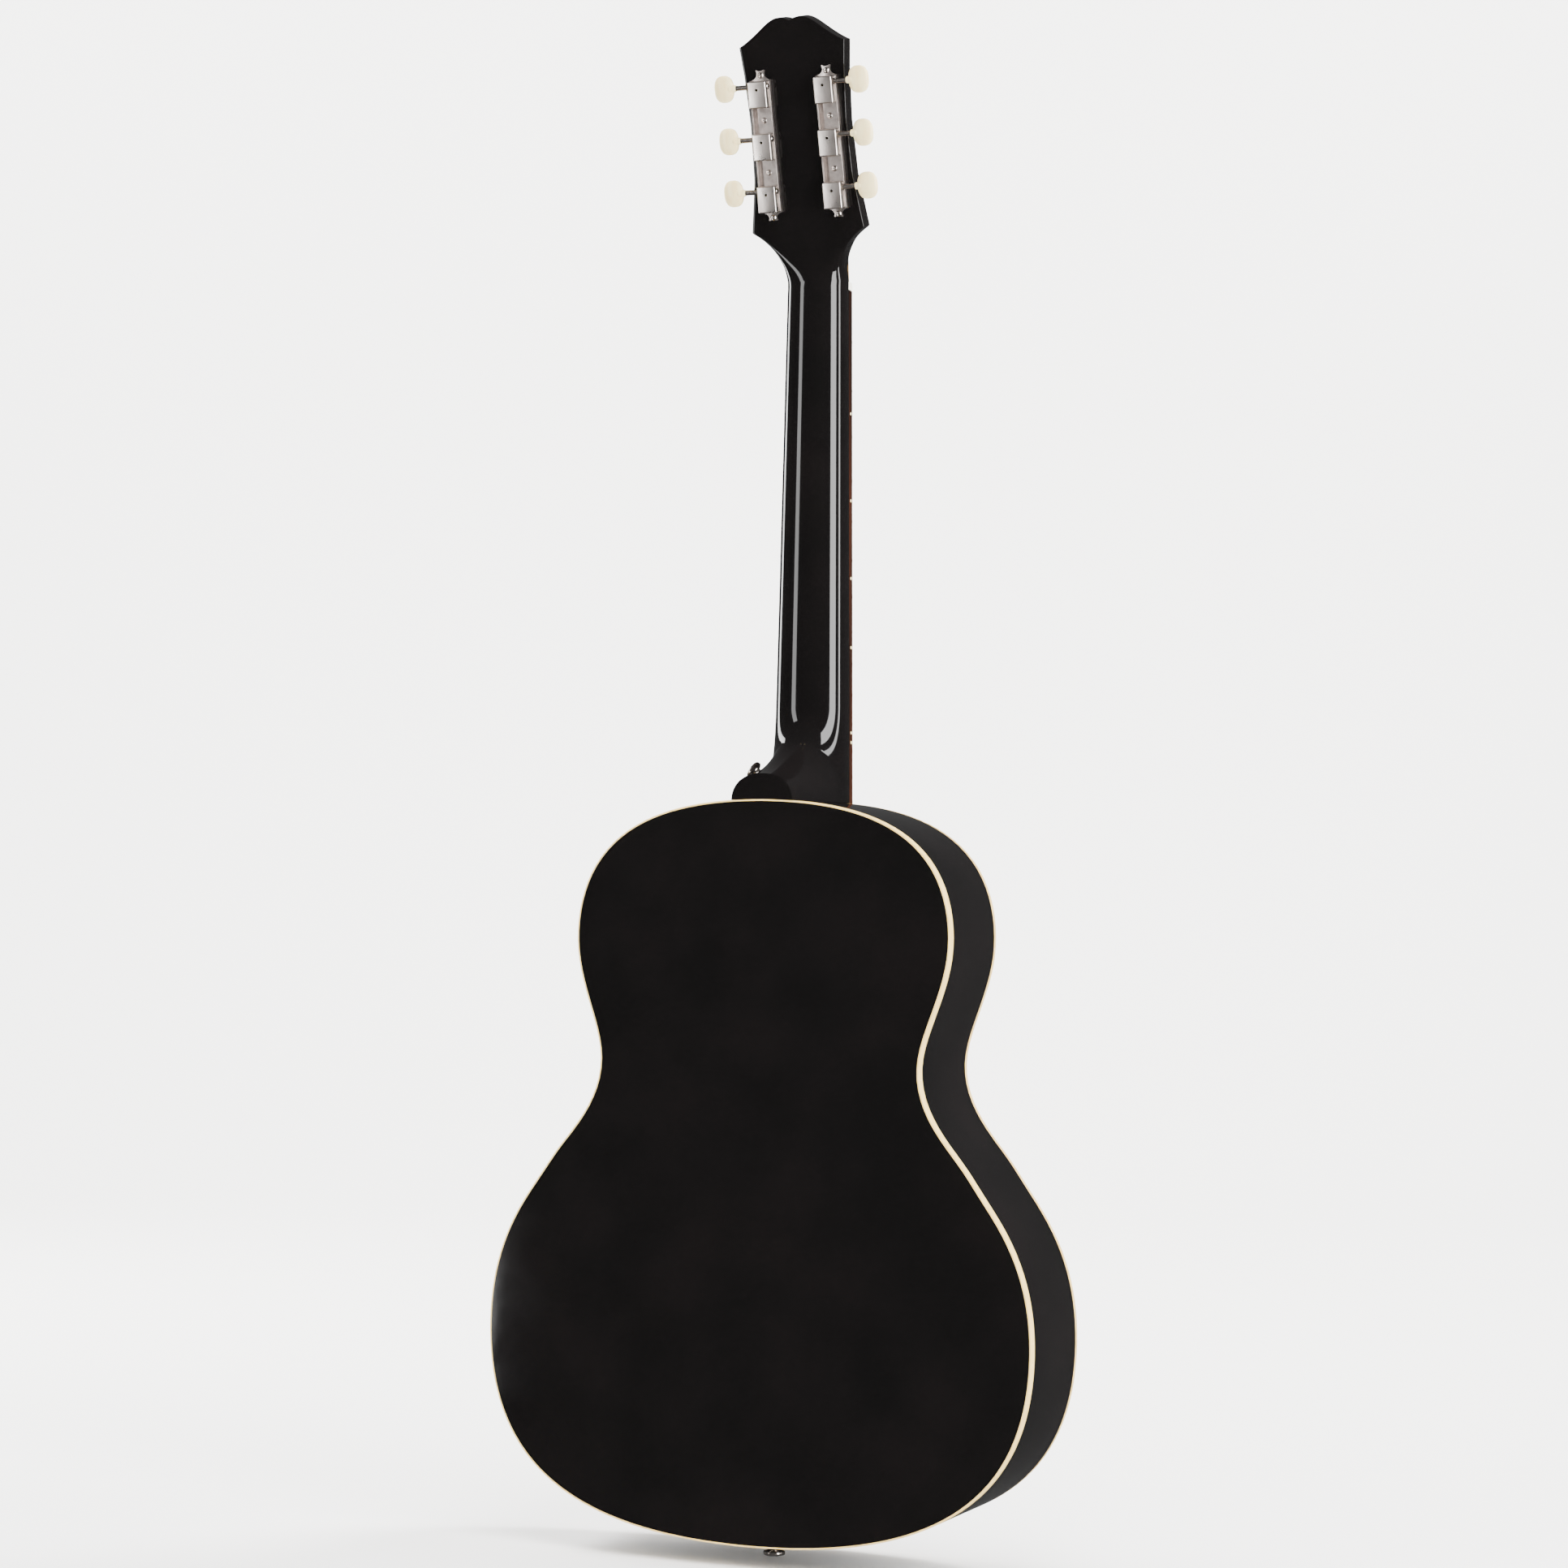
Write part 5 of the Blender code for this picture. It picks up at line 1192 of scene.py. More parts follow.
    def build(self) -> None:
        """Build the neck and what is on it."""
        self.build_neck()
        self.build_board()
        LOG.info("neck built")


@dataclass
class Machines:
    """Two strips of three tuning machines on the back of the headstock."""

    layout: Layout
    column: float = 24 * MM
    spacing: float = 35 * MM
    first: float = 59.4 * MM          # height of the lowest cover along the headstock
    plate_half: float = 7.5 * MM
    plate_thickness: float = 0.9 * MM
    flange: float = 3.6 * MM
    overrun: float = 4.5 * MM
    tab: float = 6.8 * MM
    cover_half: float = 6.6 * MM
    cover_length: float = 17.8 * MM
    cover_height: float = 8.8 * MM
    cover_wall: float = 0.6 * MM
    worm_offset: float = 5.3 * MM
    oil_offset: float = 3.3 * MM
    shaft_radius: float = 1.7 * MM
    shaft_rise: float = 5.0 * MM
    worm_pitch: float = 2.2 * MM
    worm_radius: float = 2.25 * MM
    teeth: int = 15
    tooth: float = 1.3 * MM
    gear_thickness: float = 3.6 * MM
    button_reach: float = 25 * MM     # from the column to the button's middle
    button_length: float = 18 * MM
    button_width: float = 14.2 * MM
    button_thickness: float = 6.6 * MM
    post_radius: float = 3 * MM
    post_rise: float = 17.2 * MM
    head_thickness: float = 13.5 * MM
    order: dict[Side, tuple[int, int, int]] = field(
        default_factory=lambda: {Side.TREBLE: (1, 2, 3), Side.BASS: (6, 5, 4)})

    @property
    def face(self) -> float:
        """Level of the plate's outer face above the headstock's front."""
        return self.head_thickness + GAP + self.plate_thickness

    @property
    def shaft_level(self) -> float:
        """Level of the shafts."""
        return self.face + self.shaft_rise

    @property
    def gear_radius(self) -> float:
        """Mean radius of a gear."""
        return self.teeth * self.worm_pitch / (2 * math.pi)

    @property
    def post_offset(self) -> float:
        """Height of a post against the middle of its cover."""
        return self.worm_offset - self.gear_radius - self.worm_radius

    def spot(self, side: Side, row: int) -> Vector:
        """Middle of a machine in the headstock's frame."""
        return Vector((side.value * self.column, 0, self.first + self.spacing * row))

    def plate_outline(self) -> list[tuple[float, float]]:
        """Sheet between the flanges with a crown at its tip and a flared foot."""
        half = self.plate_half - self.plate_thickness / 2
        low = self.first - self.cover_length / 2 - self.overrun + 4 * MM
        high = self.first + 2 * self.spacing + self.cover_length / 2 + self.overrun - 4 * MM
        right = [(x * self.plate_half, low - z * self.tab) for x, z in PLATE_FOOT[::-1]]
        right += [(half, low + 1 * MM), (half, high - 1 * MM)]
        right += [(x * self.plate_half, high + z * self.tab) for x, z in PLATE_CROWN]
        return right + [(0, high + self.tab * 0.89)] + [(-x, z) for x, z in right[::-1]]

    def build_plate(self, side: Side) -> None:
        """Rolled plate with folded edges, notched for the shafts."""
        shift = self.layout.head @ Matrix.Translation((side.value * self.column, 0, 0))
        base = self.head_thickness + GAP
        low = self.first - self.cover_length / 2 - self.overrun + 4 * MM
        high = self.first + 2 * self.spacing + self.cover_length / 2 + self.overrun - 4 * MM
        name = f"machine_plate_{side.name.lower()}"
        plate = new_piece(name, prism(self.plate_outline(), base, self.face, shift, 0.12 * MM), "plates")
        for edge in (-1, 1):
            xs = sorted((edge * self.plate_half, edge * (self.plate_half - self.plate_thickness)))
            top = self.face + self.flange
            bend, rise = 1.6 * MM, top - 0.3 * MM
            wall = [(low, base + 0.1 * MM), (high, base + 0.1 * MM), (high, rise - bend)]
            wall += [(high - bend * (1 - math.cos(a)), rise - bend + bend * math.sin(a))
                     for a in np.linspace(0, math.pi / 2, 5)[1:]]
            wall += [(low + bend * (1 - math.cos(a)), rise - bend + bend * math.sin(a))
                     for a in np.linspace(math.pi / 2, 0, 5)]
            shape = prism(wall, xs[0], xs[1], Matrix.Identity(4), 0.25 * MM, 3)
            bmesh.ops.transform(shape, verts=shape.verts, matrix=shift @ ON_EDGE)
            combine(plate, new_piece("flange", shape, "plates"), "UNION")
        for row in range(3):
            z = self.first + self.spacing * row
            reach = self.plate_half + 2 * MM
            home = shift @ Matrix.Translation((0, self.shaft_level, z + self.worm_offset)) \
                @ TO_TREBLE
            cut(plate, cylinder(self.shaft_radius + GAP, -reach, reach, home), "plates")
            home = shift @ Matrix.Translation((0, 0, z + self.post_offset)) @ TO_BACK
            combine(plate, new_piece("passage", cylinder(self.post_radius + GAP, 0, self.face + 1 * MM, home),
                                     "plates"), "DIFFERENCE")
        crease(plate, 35)
        finalise(plate, "root", "nickel_plate", f"tuner_plate_{side.name.lower()}")
        heights = [self.first + self.spacing * row + self.spacing / 2 for row in (0, 1)]
        heights += [low - self.tab * 0.5, high + self.tab * 0.46]
        for number, z in enumerate(heights, 1):
            home = shift @ Matrix.Translation((0, self.face, z)) @ TO_BACK
            screw(f"plate_screw_{side.name.lower()}_{number}", home, 2.1 * MM)

    def build_cover(self, number: int, side: Side, row: int) -> None:
        """Pressed cover with soft corners, an oil hole and a way out for the shaft."""
        home = self.layout.head @ Matrix.Translation(self.spot(side, row))
        x, z, wall = self.cover_half, self.cover_length / 2, self.cover_wall
        low, high = self.face + GAP, self.face + self.cover_height
        cover = new_piece(f"pressed_cover_{number}",
                          cuboid((-x, low - 2 * MM, -z), (x, high, z), home, 0.9 * MM, 4), "covers")
        room = cuboid((-x + wall, low - 4 * MM, -z + wall), (x - wall, high - wall, z - wall), home, 0.5 * MM)
        cut(cover, room, "covers")
        trim = cuboid((-x - 1 * MM, low - 5 * MM, -z - 1 * MM), (x + 1 * MM, low, z + 1 * MM), home)
        cut(cover, trim, "covers")
        gap = self.shaft_radius + GAP
        way = cuboid((-x - 1 * MM, low - 4 * MM, self.worm_offset - gap),
                     (x + 1 * MM, self.shaft_level, self.worm_offset + gap), home)
        cut(cover, way, "covers")
        axis = home @ Matrix.Translation((0, self.shaft_level, self.worm_offset)) @ TO_TREBLE
        cut(cover, cylinder(gap, -x - 1 * MM, x + 1 * MM, axis), "covers")
        oil = home @ Matrix.Translation((0, 0, self.oil_offset)) @ TO_BACK
        cut(cover, cylinder(0.95 * MM, high - 2 * MM, high + 2 * MM, oil), "covers")
        crease(cover, 40)
        finalise(cover, "root", "nickel_plate", f"tuner_cover_{number}")

    def thread(self, gear_side: int) -> bmesh.types.BMesh:
        """Worm's thread about X, whose ends sink into its core."""
        turns, per_turn = 2.2, 24
        root = self.worm_radius - self.tooth * 0.62
        tip = self.worm_radius + self.tooth * 0.42
        foot, crest = self.worm_pitch * 0.33, self.worm_pitch * 0.11
        count = int(turns * per_turn)
        rings = []
        for k in range(count + 1):
            turn = 2 * math.pi * k / per_turn - math.pi * turns + gear_side * math.pi / 2
            along = self.worm_pitch * (k / per_turn - turns / 2)
            outer = root + (tip - root) * max(0.15, min(1.0, k / 9, (count - k) / 9))
            rings.append([(along + offset, radius * math.cos(turn), radius * math.sin(turn))
                          for offset, radius in ((-foot, root - 0.4 * MM), (foot, root - 0.4 * MM),
                                                 (crest, outer), (-crest, outer))])
        return loft(rings)

    def build_key(self, number: int, side: Side, row: int) -> None:
        """Shaft with its worm, and the button on its end."""
        home = self.layout.head @ Matrix.Translation(
            self.spot(side, row) + Vector((0, self.shaft_level, self.worm_offset)))
        if side is Side.BASS:
            home = home @ Matrix.Rotation(math.pi, 4, "Y")
        spun = home @ TO_TREBLE
        r, inner = self.shaft_radius, -self.plate_half + self.plate_thickness * 0.2
        core = self.worm_radius - self.tooth * 0.62
        span = self.worm_pitch * 1.75
        near = self.button_reach - self.button_width / 2
        shaft = [(0, inner), (r * 0.8, inner), (r, inner + 0.3 * MM), (r, -span), (core, -span + 0.1 * MM),
                 (core, span - 0.1 * MM), (r, span), (r, near + 2 * MM), (0, near + 2 * MM)]
        thread = self.thread(-side.value)
        bmesh.ops.transform(thread, verts=thread.verts, matrix=home)
        worm = new_piece(f"worm_shaft_{number}", merge([turned(shaft, spun, 32), thread]), "turned")
        finalise(worm, f"key_{number}", "nickel_plate", f"tuner_worm_{number}")

        button = bmesh.new()
        bmesh.ops.create_uvsphere(button, u_segments=64, v_segments=32, radius=0.5)
        for vertex in button.verts:       # fuller than an ellipsoid, with ribs on its rim
            along, thick, wide = vertex.co * 2
            out = math.hypot(along, wide)
            swell = (abs(along) ** 2.5 + abs(wide) ** 2.5) ** -0.4 * out if along or wide else 1
            rim = out ** 4
            angle = math.atan2(wide, along)
            rib = 1 + 0.004 * rim * math.cos(14 * angle) * (1 if abs(wide) > 0.2 else 0)
            flat = math.copysign(abs(thick) ** 0.86, thick)
            vertex.co = (along * swell * rib * self.button_width / 2, flat * self.button_thickness / 2,
                         wide * swell * rib * self.button_length / 2)
        bmesh.ops.translate(button, verts=button.verts, vec=(self.button_reach, 0, 0))
        bmesh.ops.transform(button, verts=button.verts, matrix=home)
        knob = new_piece(f"oval_button_{number}", button, "cream", 60)
        collar = rounded([(0, near - 1.8 * MM), (2.1 * MM, near - 1.8 * MM), (2.4 * MM, near - 0.8 * MM),
                          (2.5 * MM, near + 0.6 * MM), (3.4 * MM, near + 2.6 * MM), (2.0 * MM, near + 6 * MM),
                          (0, near + 6 * MM)])
        combine(knob, new_piece("collar", turned(collar, spun, 40), "cream"), "UNION")
        room = cylinder(r + 0.1 * MM, near - 4 * MM, near + 2.1 * MM, spun, 32)
        cut(knob, room, "cream")
        crease(knob, 60)
        finalise(knob, f"key_{number}", "cream_plastic", f"tuner_button_{number}")

    def gear(self, turn: float) -> bmesh.types.BMesh:
        """Gear with fifteen leaning teeth, in the frame of its post."""
        root = self.gear_radius - self.tooth * 0.55
        tip = self.gear_radius + self.tooth * 0.38
        pitch = 2 * math.pi / self.teeth
        foot, crest = pitch * 0.27 - 0.17 * MM / root, pitch * 0.09
        lean = self.gear_thickness * math.tan(math.atan(self.worm_pitch / (2 * math.pi * self.worm_radius)))
        twist = lean / self.gear_radius
        rings = []
        for share in np.linspace(-0.5, 0.5, 5):
            ring = []
            for tooth in range(self.teeth):
                for offset, radius in ((-foot, root), (-crest, tip), (crest, tip), (foot, root)):
                    angle = tooth * pitch + offset + turn + twist * share
                    ring.append((radius * math.sin(angle), self.shaft_level + self.gear_thickness * share,
                                 radius * math.cos(angle)))
            rings.append(ring)
        return loft(rings)

    def build_post(self, number: int, side: Side, row: int) -> None:
        """Waisted string post with its gear, and the bush it turns in."""
        home = self.layout.head @ Matrix.Translation(self.spot(side, row) + Vector((0, 0, self.post_offset)))
        spun = home @ TO_BACK
        r, low = self.post_radius, -self.post_rise
        high = self.shaft_level + self.gear_thickness / 2 + 0.6 * MM
        tip = rounded([(0, low), (r * 0.8, low), (r, low + 0.6 * MM), (r, low + 2.8 * MM)])
        waist = rounded([(r, low + 3.4 * MM), (r * 0.9, low + 5 * MM), (r * 0.86, low + 7 * MM),
                         (r * 0.9, low + 10 * MM), (r, low + 12.5 * MM)])
        shape = turned(tip + waist + [(r, high), (0, high)], spun)
        post = new_piece(f"string_post_{number}", shape, "turned")
        bore = home @ Matrix.Translation((0, low + 5 * MM, 0)) @ TO_TREBLE
        cut(post, cylinder(0.9 * MM, -6 * MM, 6 * MM, bore, 20), "turned")
        crease(post, 35)
        finalise(post, f"post_{number}", "nickel_plate", f"tuner_post_{number}")
        gear = self.gear(math.pi / self.teeth)
        bmesh.ops.transform(gear, verts=gear.verts, matrix=home)
        finalise(new_piece(f"post_gear_{number}", gear, "gears", 25), f"post_{number}", "nickel_plate")
        outer = 4.75 * MM
        bush = [(r + GAP, -1.6 * MM), (outer * 0.86, -1.6 * MM), (outer, -1.1 * MM), (outer, -0.05 * MM),
                (4.1 * MM, -0.05 * MM), (4.1 * MM, 9 * MM), (r + GAP, 9 * MM), (r + GAP, -1.6 * MM)]
        finalise(new_piece(f"post_bush_{number}", turned(bush, spun, 40), "turned"), "root", "nickel_plate")

    def build(self) -> None:
        """Build both strips."""
        for side, numbers in self.order.items():
            self.build_plate(side)
            for row, number in enumerate(numbers):
                self.build_cover(number, side, row)
                self.build_key(number, side, row)
                self.build_post(number, side, row)
            LOG.info("machines built on the %s side", side.name.lower())


def screw(name: str, home: Matrix, radius: float) -> None:
    """Domed screw head with a cross, at the origin of its frame and facing Z.

    Args:
        name: The piece's name.
        home: Where it sits.
        radius: Of its head.
    """
    dome = [(0, radius * 0.42), (radius * 0.45, radius * 0.38), (radius * 0.8, radius * 0.25),
            (radius, 0.02 * MM), (radius, -0.3 * MM), (0, -0.3 * MM)]
    head = new_piece(name, turned(dome, home, 32), "turned")
    long, wide, deep = radius * 0.62, radius * 0.13, radius * 0.05
    for across in ((long, wide), (wide, long)):
        slot = cuboid((-across[0], -across[1], deep), (across[0], across[1], radius), home)
        cut(head, slot, "turned")
    finalise(head, "root", "nickel_plate")


@dataclass
class StringSet:
    """Nut, bridge, saddle, pins and the six strings."""

    layout: Layout
    neck: Neck
    machines: Machines
    nut_spacing: float = 7.1 * MM
    bridge_spacing: float = 11 * MM
    thin: float = 0.16 * MM
    thick: float = 0.67 * MM
    rise_at_saddle: float = 12.7 * MM
    rise_at_nut: float = 1.3 * MM
    bridge_half: float = 76 * MM
    bridge_middle: float = 46 * MM
    bridge_below: float = 18.5 * MM
    bridge_above: float = 8.5 * MM
    bridge_height: float = 9.2 * MM
    wing_height: float = 3.6 * MM
    pin_below: float = 12.5 * MM
    pin_radius: float = 2.4 * MM
    pin_flute: float = 1.4 * MM
    pin_head: float = 3.8 * MM
    pin_length: float = 21 * MM
    saddle_half: float = 36 * MM
    saddle_thickness: float = 3.1 * MM
    saddle_turn: float = math.radians(2.2)
    turns: float = 2.0

    def across(self, number: int, spacing: float) -> float:
        """Lateral place of a string."""
        return (3.5 - number) * spacing

    def radius(self, number: int) -> float:
        """Radius of a string."""
        return self.thin + (self.thick - self.thin) * (number - 1) / 5

    @property
    def pin_line(self) -> float:
        """Height of the bridge pins."""
        return self.layout.saddle - self.pin_below

    def build_bridge(self) -> None:
        """Bridge with scooped wings, bored for its pins and slotted for its saddle."""
        layout, soft = self.layout, 1.8 * MM
        rings = []
        shares = np.concatenate([np.linspace(-1, -0.93, 7), np.linspace(-0.9, 0.9, 61),
                                 np.linspace(0.93, 1, 7)])
        for x in shares:
            x = float(x) * self.bridge_half
            share = min(1.0, max(0.0, (self.bridge_middle + 8 * MM - abs(x)) / (13 * MM)))
            ease = share * share * (3 - 2 * share)
            height = self.wing_height + (self.bridge_height - self.wing_height) * ease
            end = max(0.0, (abs(x) - self.bridge_half + 5 * MM) / (5 * MM))
            height *= math.sqrt(max(0.02, 1 - 0.75 * end * end))
            bend, base = min(soft, height * 0.45), layout.front - GAP
            low, high = layout.saddle - self.bridge_below, layout.saddle + self.bridge_above
            corner = [(bend * (1 - math.cos(a)), height - bend + bend * math.sin(a))
                      for a in np.linspace(0, math.pi / 2, 6)]
            ring = [(x, base, low)] + [(x, base - h, low + d) for d, h in corner]
            ring += [(x, base - h, high - d) for d, h in corner[::-1]] + [(x, base, high)]
            rings.append(ring)
        bridge = new_piece("carved_bridge", loft(rings), "rosewood", 40)
        turn = (Matrix.Translation((0, layout.front, layout.saddle))
                @ Matrix.Rotation(self.saddle_turn, 4, "Y"))
        base = -GAP - self.bridge_height + 5.2 * MM
        half, thick = self.saddle_half, self.saddle_thickness / 2
        slot = cuboid((-half - GAP, -50 * MM, -thick - GAP), (half + GAP, base + GAP, thick + GAP), turn)
        cut(bridge, slot, "rosewood")
        for number in range(1, 7):
            x = self.across(number, self.bridge_spacing)
            home = Matrix.Translation((x, layout.front, self.pin_line)) @ TO_BACK
            bore = cylinder(self.pin_radius + 2 * GAP, -30 * MM, 30 * MM, home, 32)
            cut(bridge, bore, "rosewood")
        crease(bridge, 40)
        finalise(bridge, "root", "rosewood", "bridge")

        xs = np.linspace(-half, half, 33)
        top = [(float(x), -self.rise_at_saddle + x * x / (2 * self.neck.board_radius) + self.thin)
               for x in xs]
        ends = [(half, base), (-half, base)]
        rings = []
        for z, down in ((-thick, 0.5), (-thick * 0.7, 0.12), (0, 0), (thick * 0.7, 0.12), (thick, 0.5)):
            rings.append([(x, y, z) for x, y in ends] + [(x, y + down * MM, z) for x, y in top])
        shape = loft(rings)
        bmesh.ops.transform(shape, verts=shape.verts, matrix=turn)
        finalise(new_piece("bone_saddle", shape, "bone", 40), "root", "bone", "saddle")

    def build_pin(self, number: int) -> None:
        """Tapered pin with a domed head, a dark dot and a flute for its string."""
        r, head, length = self.pin_radius, self.pin_head, self.pin_length
        x = self.across(number, self.bridge_spacing)
        home = Matrix.Translation((x, self.layout.front - self.bridge_height - 2 * GAP, self.pin_line)) \
            @ TO_FRONT
        dome = rounded([(0, 4.2 * MM), (head * 0.62, 4.1 * MM), (head, 2.9 * MM), (head, 1.3 * MM),
                        (head * 0.8, 0.5 * MM), (r, 0.1 * MM)])
        profile = dome + [(r * 0.86, -length), (0, -length - 0.8 * MM)]
        pin = new_piece(f"tapered_pin_{number}", turned(profile, home, 40), "cream", 40)
        wide = self.thick + GAP * 1.5
        flute = cuboid((-wide, r - self.pin_flute, -length - 10 * MM), (wide, r + 10 * MM, 1.8 * MM), home)
        cut(pin, flute, "cream")
        crease(pin, 40)
        finalise(pin, f"pin_{number}", "cream_plastic", f"bridge_pin_{number}")
        dot = cylinder(1.1 * MM, 3.2 * MM, 4.3 * MM, home, 24, 0.15 * MM)
        finalise(new_piece(f"pin_dot_{number}", dot, "black_plastic"), f"pin_{number}", "black_plastic")

    def build_nut(self) -> None:
        """Bone nut with a rounded top and a slot under each string."""
        layout, half = self.layout, self.neck.nut_width / 2 - GAP
        low, high = layout.nut + GAP, layout.nut_top
        rings = []
        for share, drop in ((0, 0.0), (0.35, 0.0), (0.6, 0.25), (0.8, 0.6), (0.93, 1.05), (1, 1.5)):
            z = low + (high - low) * share
            top = [(float(x), self.neck.surface(float(x), layout.nut) - 1.0 * MM + drop * MM, z)
                   for x in np.linspace(half, -half, 49)]
            rings.append([(-half, layout.front - GAP, z), (half, layout.front - GAP, z)] + top)
        nut = new_piece("bone_nut", loft(rings), "bone", 40)
        for number in range(1, 7):
            x = self.across(number, self.nut_spacing)
            r = self.radius(number) + 0.05 * MM
            y = self.neck.surface(x, layout.nut) - self.rise_at_nut + 0.35 * MM
            home = Matrix.Translation((x, y, layout.nut + 3 * MM))
            cut(nut, cylinder(r, -8 * MM, 8 * MM, home, 16), "bone")
        crease(nut, 40)
        finalise(nut, "root", "bone", "nut")

    def route(self, number: int, side: Side, row: int) -> list[Vector]:
        """Way of one string from under its pin to its turns on the post."""
        layout, radius = self.layout, self.radius(number)
        x_low, x_nut = self.across(number, self.bridge_spacing), self.across(number, self.nut_spacing)
        crown = x_low * x_low / (2 * self.neck.board_radius)
        saddle = Vector((x_low, layout.front - self.rise_at_saddle + crown - radius - GAP * 1.2,
                         layout.saddle - x_low * math.tan(self.saddle_turn)))
        nut_y = self.neck.surface(x_nut, layout.nut) - self.rise_at_nut - radius - GAP
        flute = self.pin_line + self.pin_radius - self.pin_flute + radius + GAP
        way = [Vector((x_low, layout.front + 7.6 * MM, flute)),
               Vector((x_low, layout.front - self.bridge_height - 0.6 * MM, flute)),
               Vector((x_low, layout.front - self.bridge_height - 1.6 * MM, flute + 0.5 * MM)),
               saddle + Vector((0, 0.25 * MM, -0.8 * MM)), saddle + Vector((0, 0, 0.3 * MM)),
               Vector((x_nut, nut_y, layout.nut - 1 * MM)), Vector((x_nut, nut_y, layout.nut + 1.5 * MM)),
               Vector((x_nut, nut_y + 0.5 * MM, layout.nut + 4 * MM))]
        spot = self.machines.spot(side, row) + Vector((0, -9.2 * MM, self.machines.post_offset))
        local = layout.head.inverted() @ way[-1]
        wind = self.machines.post_radius + radius + GAP
        gap = Vector((local.x - spot.x, 0, local.z - spot.z))
        start = math.atan2(gap.z, gap.x) - side.value * math.acos(wind / gap.length)
        steps, climb = int(self.turns * 32), (2 * radius + GAP) / 32
        for k in range(steps + 1):
            angle = start - side.value * k * math.pi / 16
            way.append(layout.head @ Vector((spot.x + wind * math.cos(angle),
                                             spot.y + k * climb - steps * climb / 2,
                                             spot.z + wind * math.sin(angle))))
        return way

    def build_string(self, number: int, side: Side, row: int) -> None:
        """Sweep one string along its way."""
        curve = bpy.data.curves.new(f"string_way_{number}", "CURVE")
        curve.dimensions = "3D"
        curve.bevel_depth = self.radius(number)
        curve.bevel_resolution = 3
        curve.use_fill_caps = True
        way = self.route(number, side, row)
        spline = curve.splines.new("POLY")
        spline.points.add(len(way) - 1)
        for point, place in zip(spline.points, way):
            point.co = (*place, 1)
        swept = bpy.data.objects.new("swept", curve)
        bpy.context.scene.collection.objects.link(swept)
        shape = bmesh.new()
        shape.from_mesh(bpy.data.meshes.new_from_object(swept.evaluated_get(
            bpy.context.evaluated_depsgraph_get())))
        bpy.data.objects.remove(swept)
        plain = number < 3
        piece = new_piece(f"strung_wire_{number}", shape, "plain_wire" if plain else "wound_wire", 50)
        finalise(piece, "root", "plain_string_steel" if plain else "string_metal", f"string_{number}")

    def build(self) -> None:
        """Build everything the strings touch, and the strings."""
        self.build_bridge()
        self.build_nut()
        for side, numbers in self.machines.order.items():
            for row, number in enumerate(numbers):
                self.build_pin(number)
                self.build_string(number, side, row)
        LOG.info("strings built")


@dataclass
class Trim:
    """Strap pins and the cover over the truss rod's nut."""

    layout: Layout

    def build_strap_pin(self, name: str, node: str, home: Matrix, radius: float, height: float) -> None:
        """Turned strap pin: a thin dished disc on a narrow waist and a foot.

        Args:
            name: The piece's name.
            node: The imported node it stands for.
            home: Its seat, with Z out of the guitar.
            radius: Of the disc.
            height: From the seat to the disc's face.
        """
        disc = [(0, height), (radius * 0.84, height), (radius, height * 0.97), (radius, height * 0.80)]
        stem = [(radius, height * 0.80), (radius * 0.56, height * 0.72), (radius * 0.46, height * 0.50),
                (radius * 0.47, height * 0.26), (radius * 0.72, height * 0.16),
                (radius * 0.78, height * 0.08), (radius * 0.78, GAP)]
        whole = rounded(disc, 2)[:-1] + rounded(stem, 2) + [(0, GAP)]
        finalise(new_piece(name, turned(whole, home, 64), "turned", 40), "root", "nickel_plate", node)

    def build(self) -> None:
        """Build the small pieces."""
        layout = self.layout
        down = Matrix.Translation((0, 0, layout.tail)) @ DOWN
        self.build_strap_pin("tail_strap_pin", "end_pin", down, 7.2 * MM, 13 * MM)
        seat = (Matrix.Translation((0, layout.front + 47 * MM, layout.shoulder + 5.2 * MM))
                @ Matrix.Rotation(math.radians(57.9), 4, "Y") @ Matrix.Translation((0, 0, 19.4 * MM)))
        self.build_strap_pin("heel_strap_pin", "heel_pin", seat, 6.3 * MM, 9.5 * MM)
        side = rounded([(0, 1.5), *ROD_COVER, (0, 27.5)], 3)
        loop = [(x * MM, z * MM) for x, z in side]
        loop += [(-x, z) for x, z in loop[-2:0:-1]]
        shape = prism(loop, -1.9 * MM, -GAP, layout.head, 0.35 * MM, 3)
        finalise(new_piece("rod_cover_plate", shape, "black_plastic", 40), "root", "black_plastic",
                 "truss_rod_cover")
        for number, (x, z) in enumerate(((-7.5, 5.0), (7.5, 5.0), (0.0, 22.5)), 1):
            home = layout.head @ Matrix.Translation((x * MM, -1.9 * MM, z * MM)) @ TO_FRONT
            screw(f"rod_cover_screw_{number}", home, 1.4 * MM)
        LOG.info("trim built")


BARE_NODES = {"top_lining": "mahogany", "back_lining": "mahogany", "neck_block": "mahogany",
              "tail_block": "mahogany", "top_bracing": "spruce", "back_bracing": "spruce",
              "truss_rod": "rod_steel", "truss_rod_nut": "gears"}


def dress_nodes(nodes: dict[str, bpy.types.Object]) -> None:
    """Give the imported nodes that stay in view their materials."""
    for name, node in nodes.items():
        if name in BARE_NODES:
            node.data.materials.clear()
            node.data.materials.append(finish(BARE_NODES[name]))


@dataclass(frozen=True)
class Softbox:
    """One rectangular soft light, in metres, watts and degrees counted from the camera to image right."""

    name: str
    degrees: float
    reach: float
    height: float
    size: tuple[float, float]
    power: float
    mirrored: bool = True             # whether the lacquer shows its reflection
    on_paper: bool = False            # aimed at the paper, not at the guitar


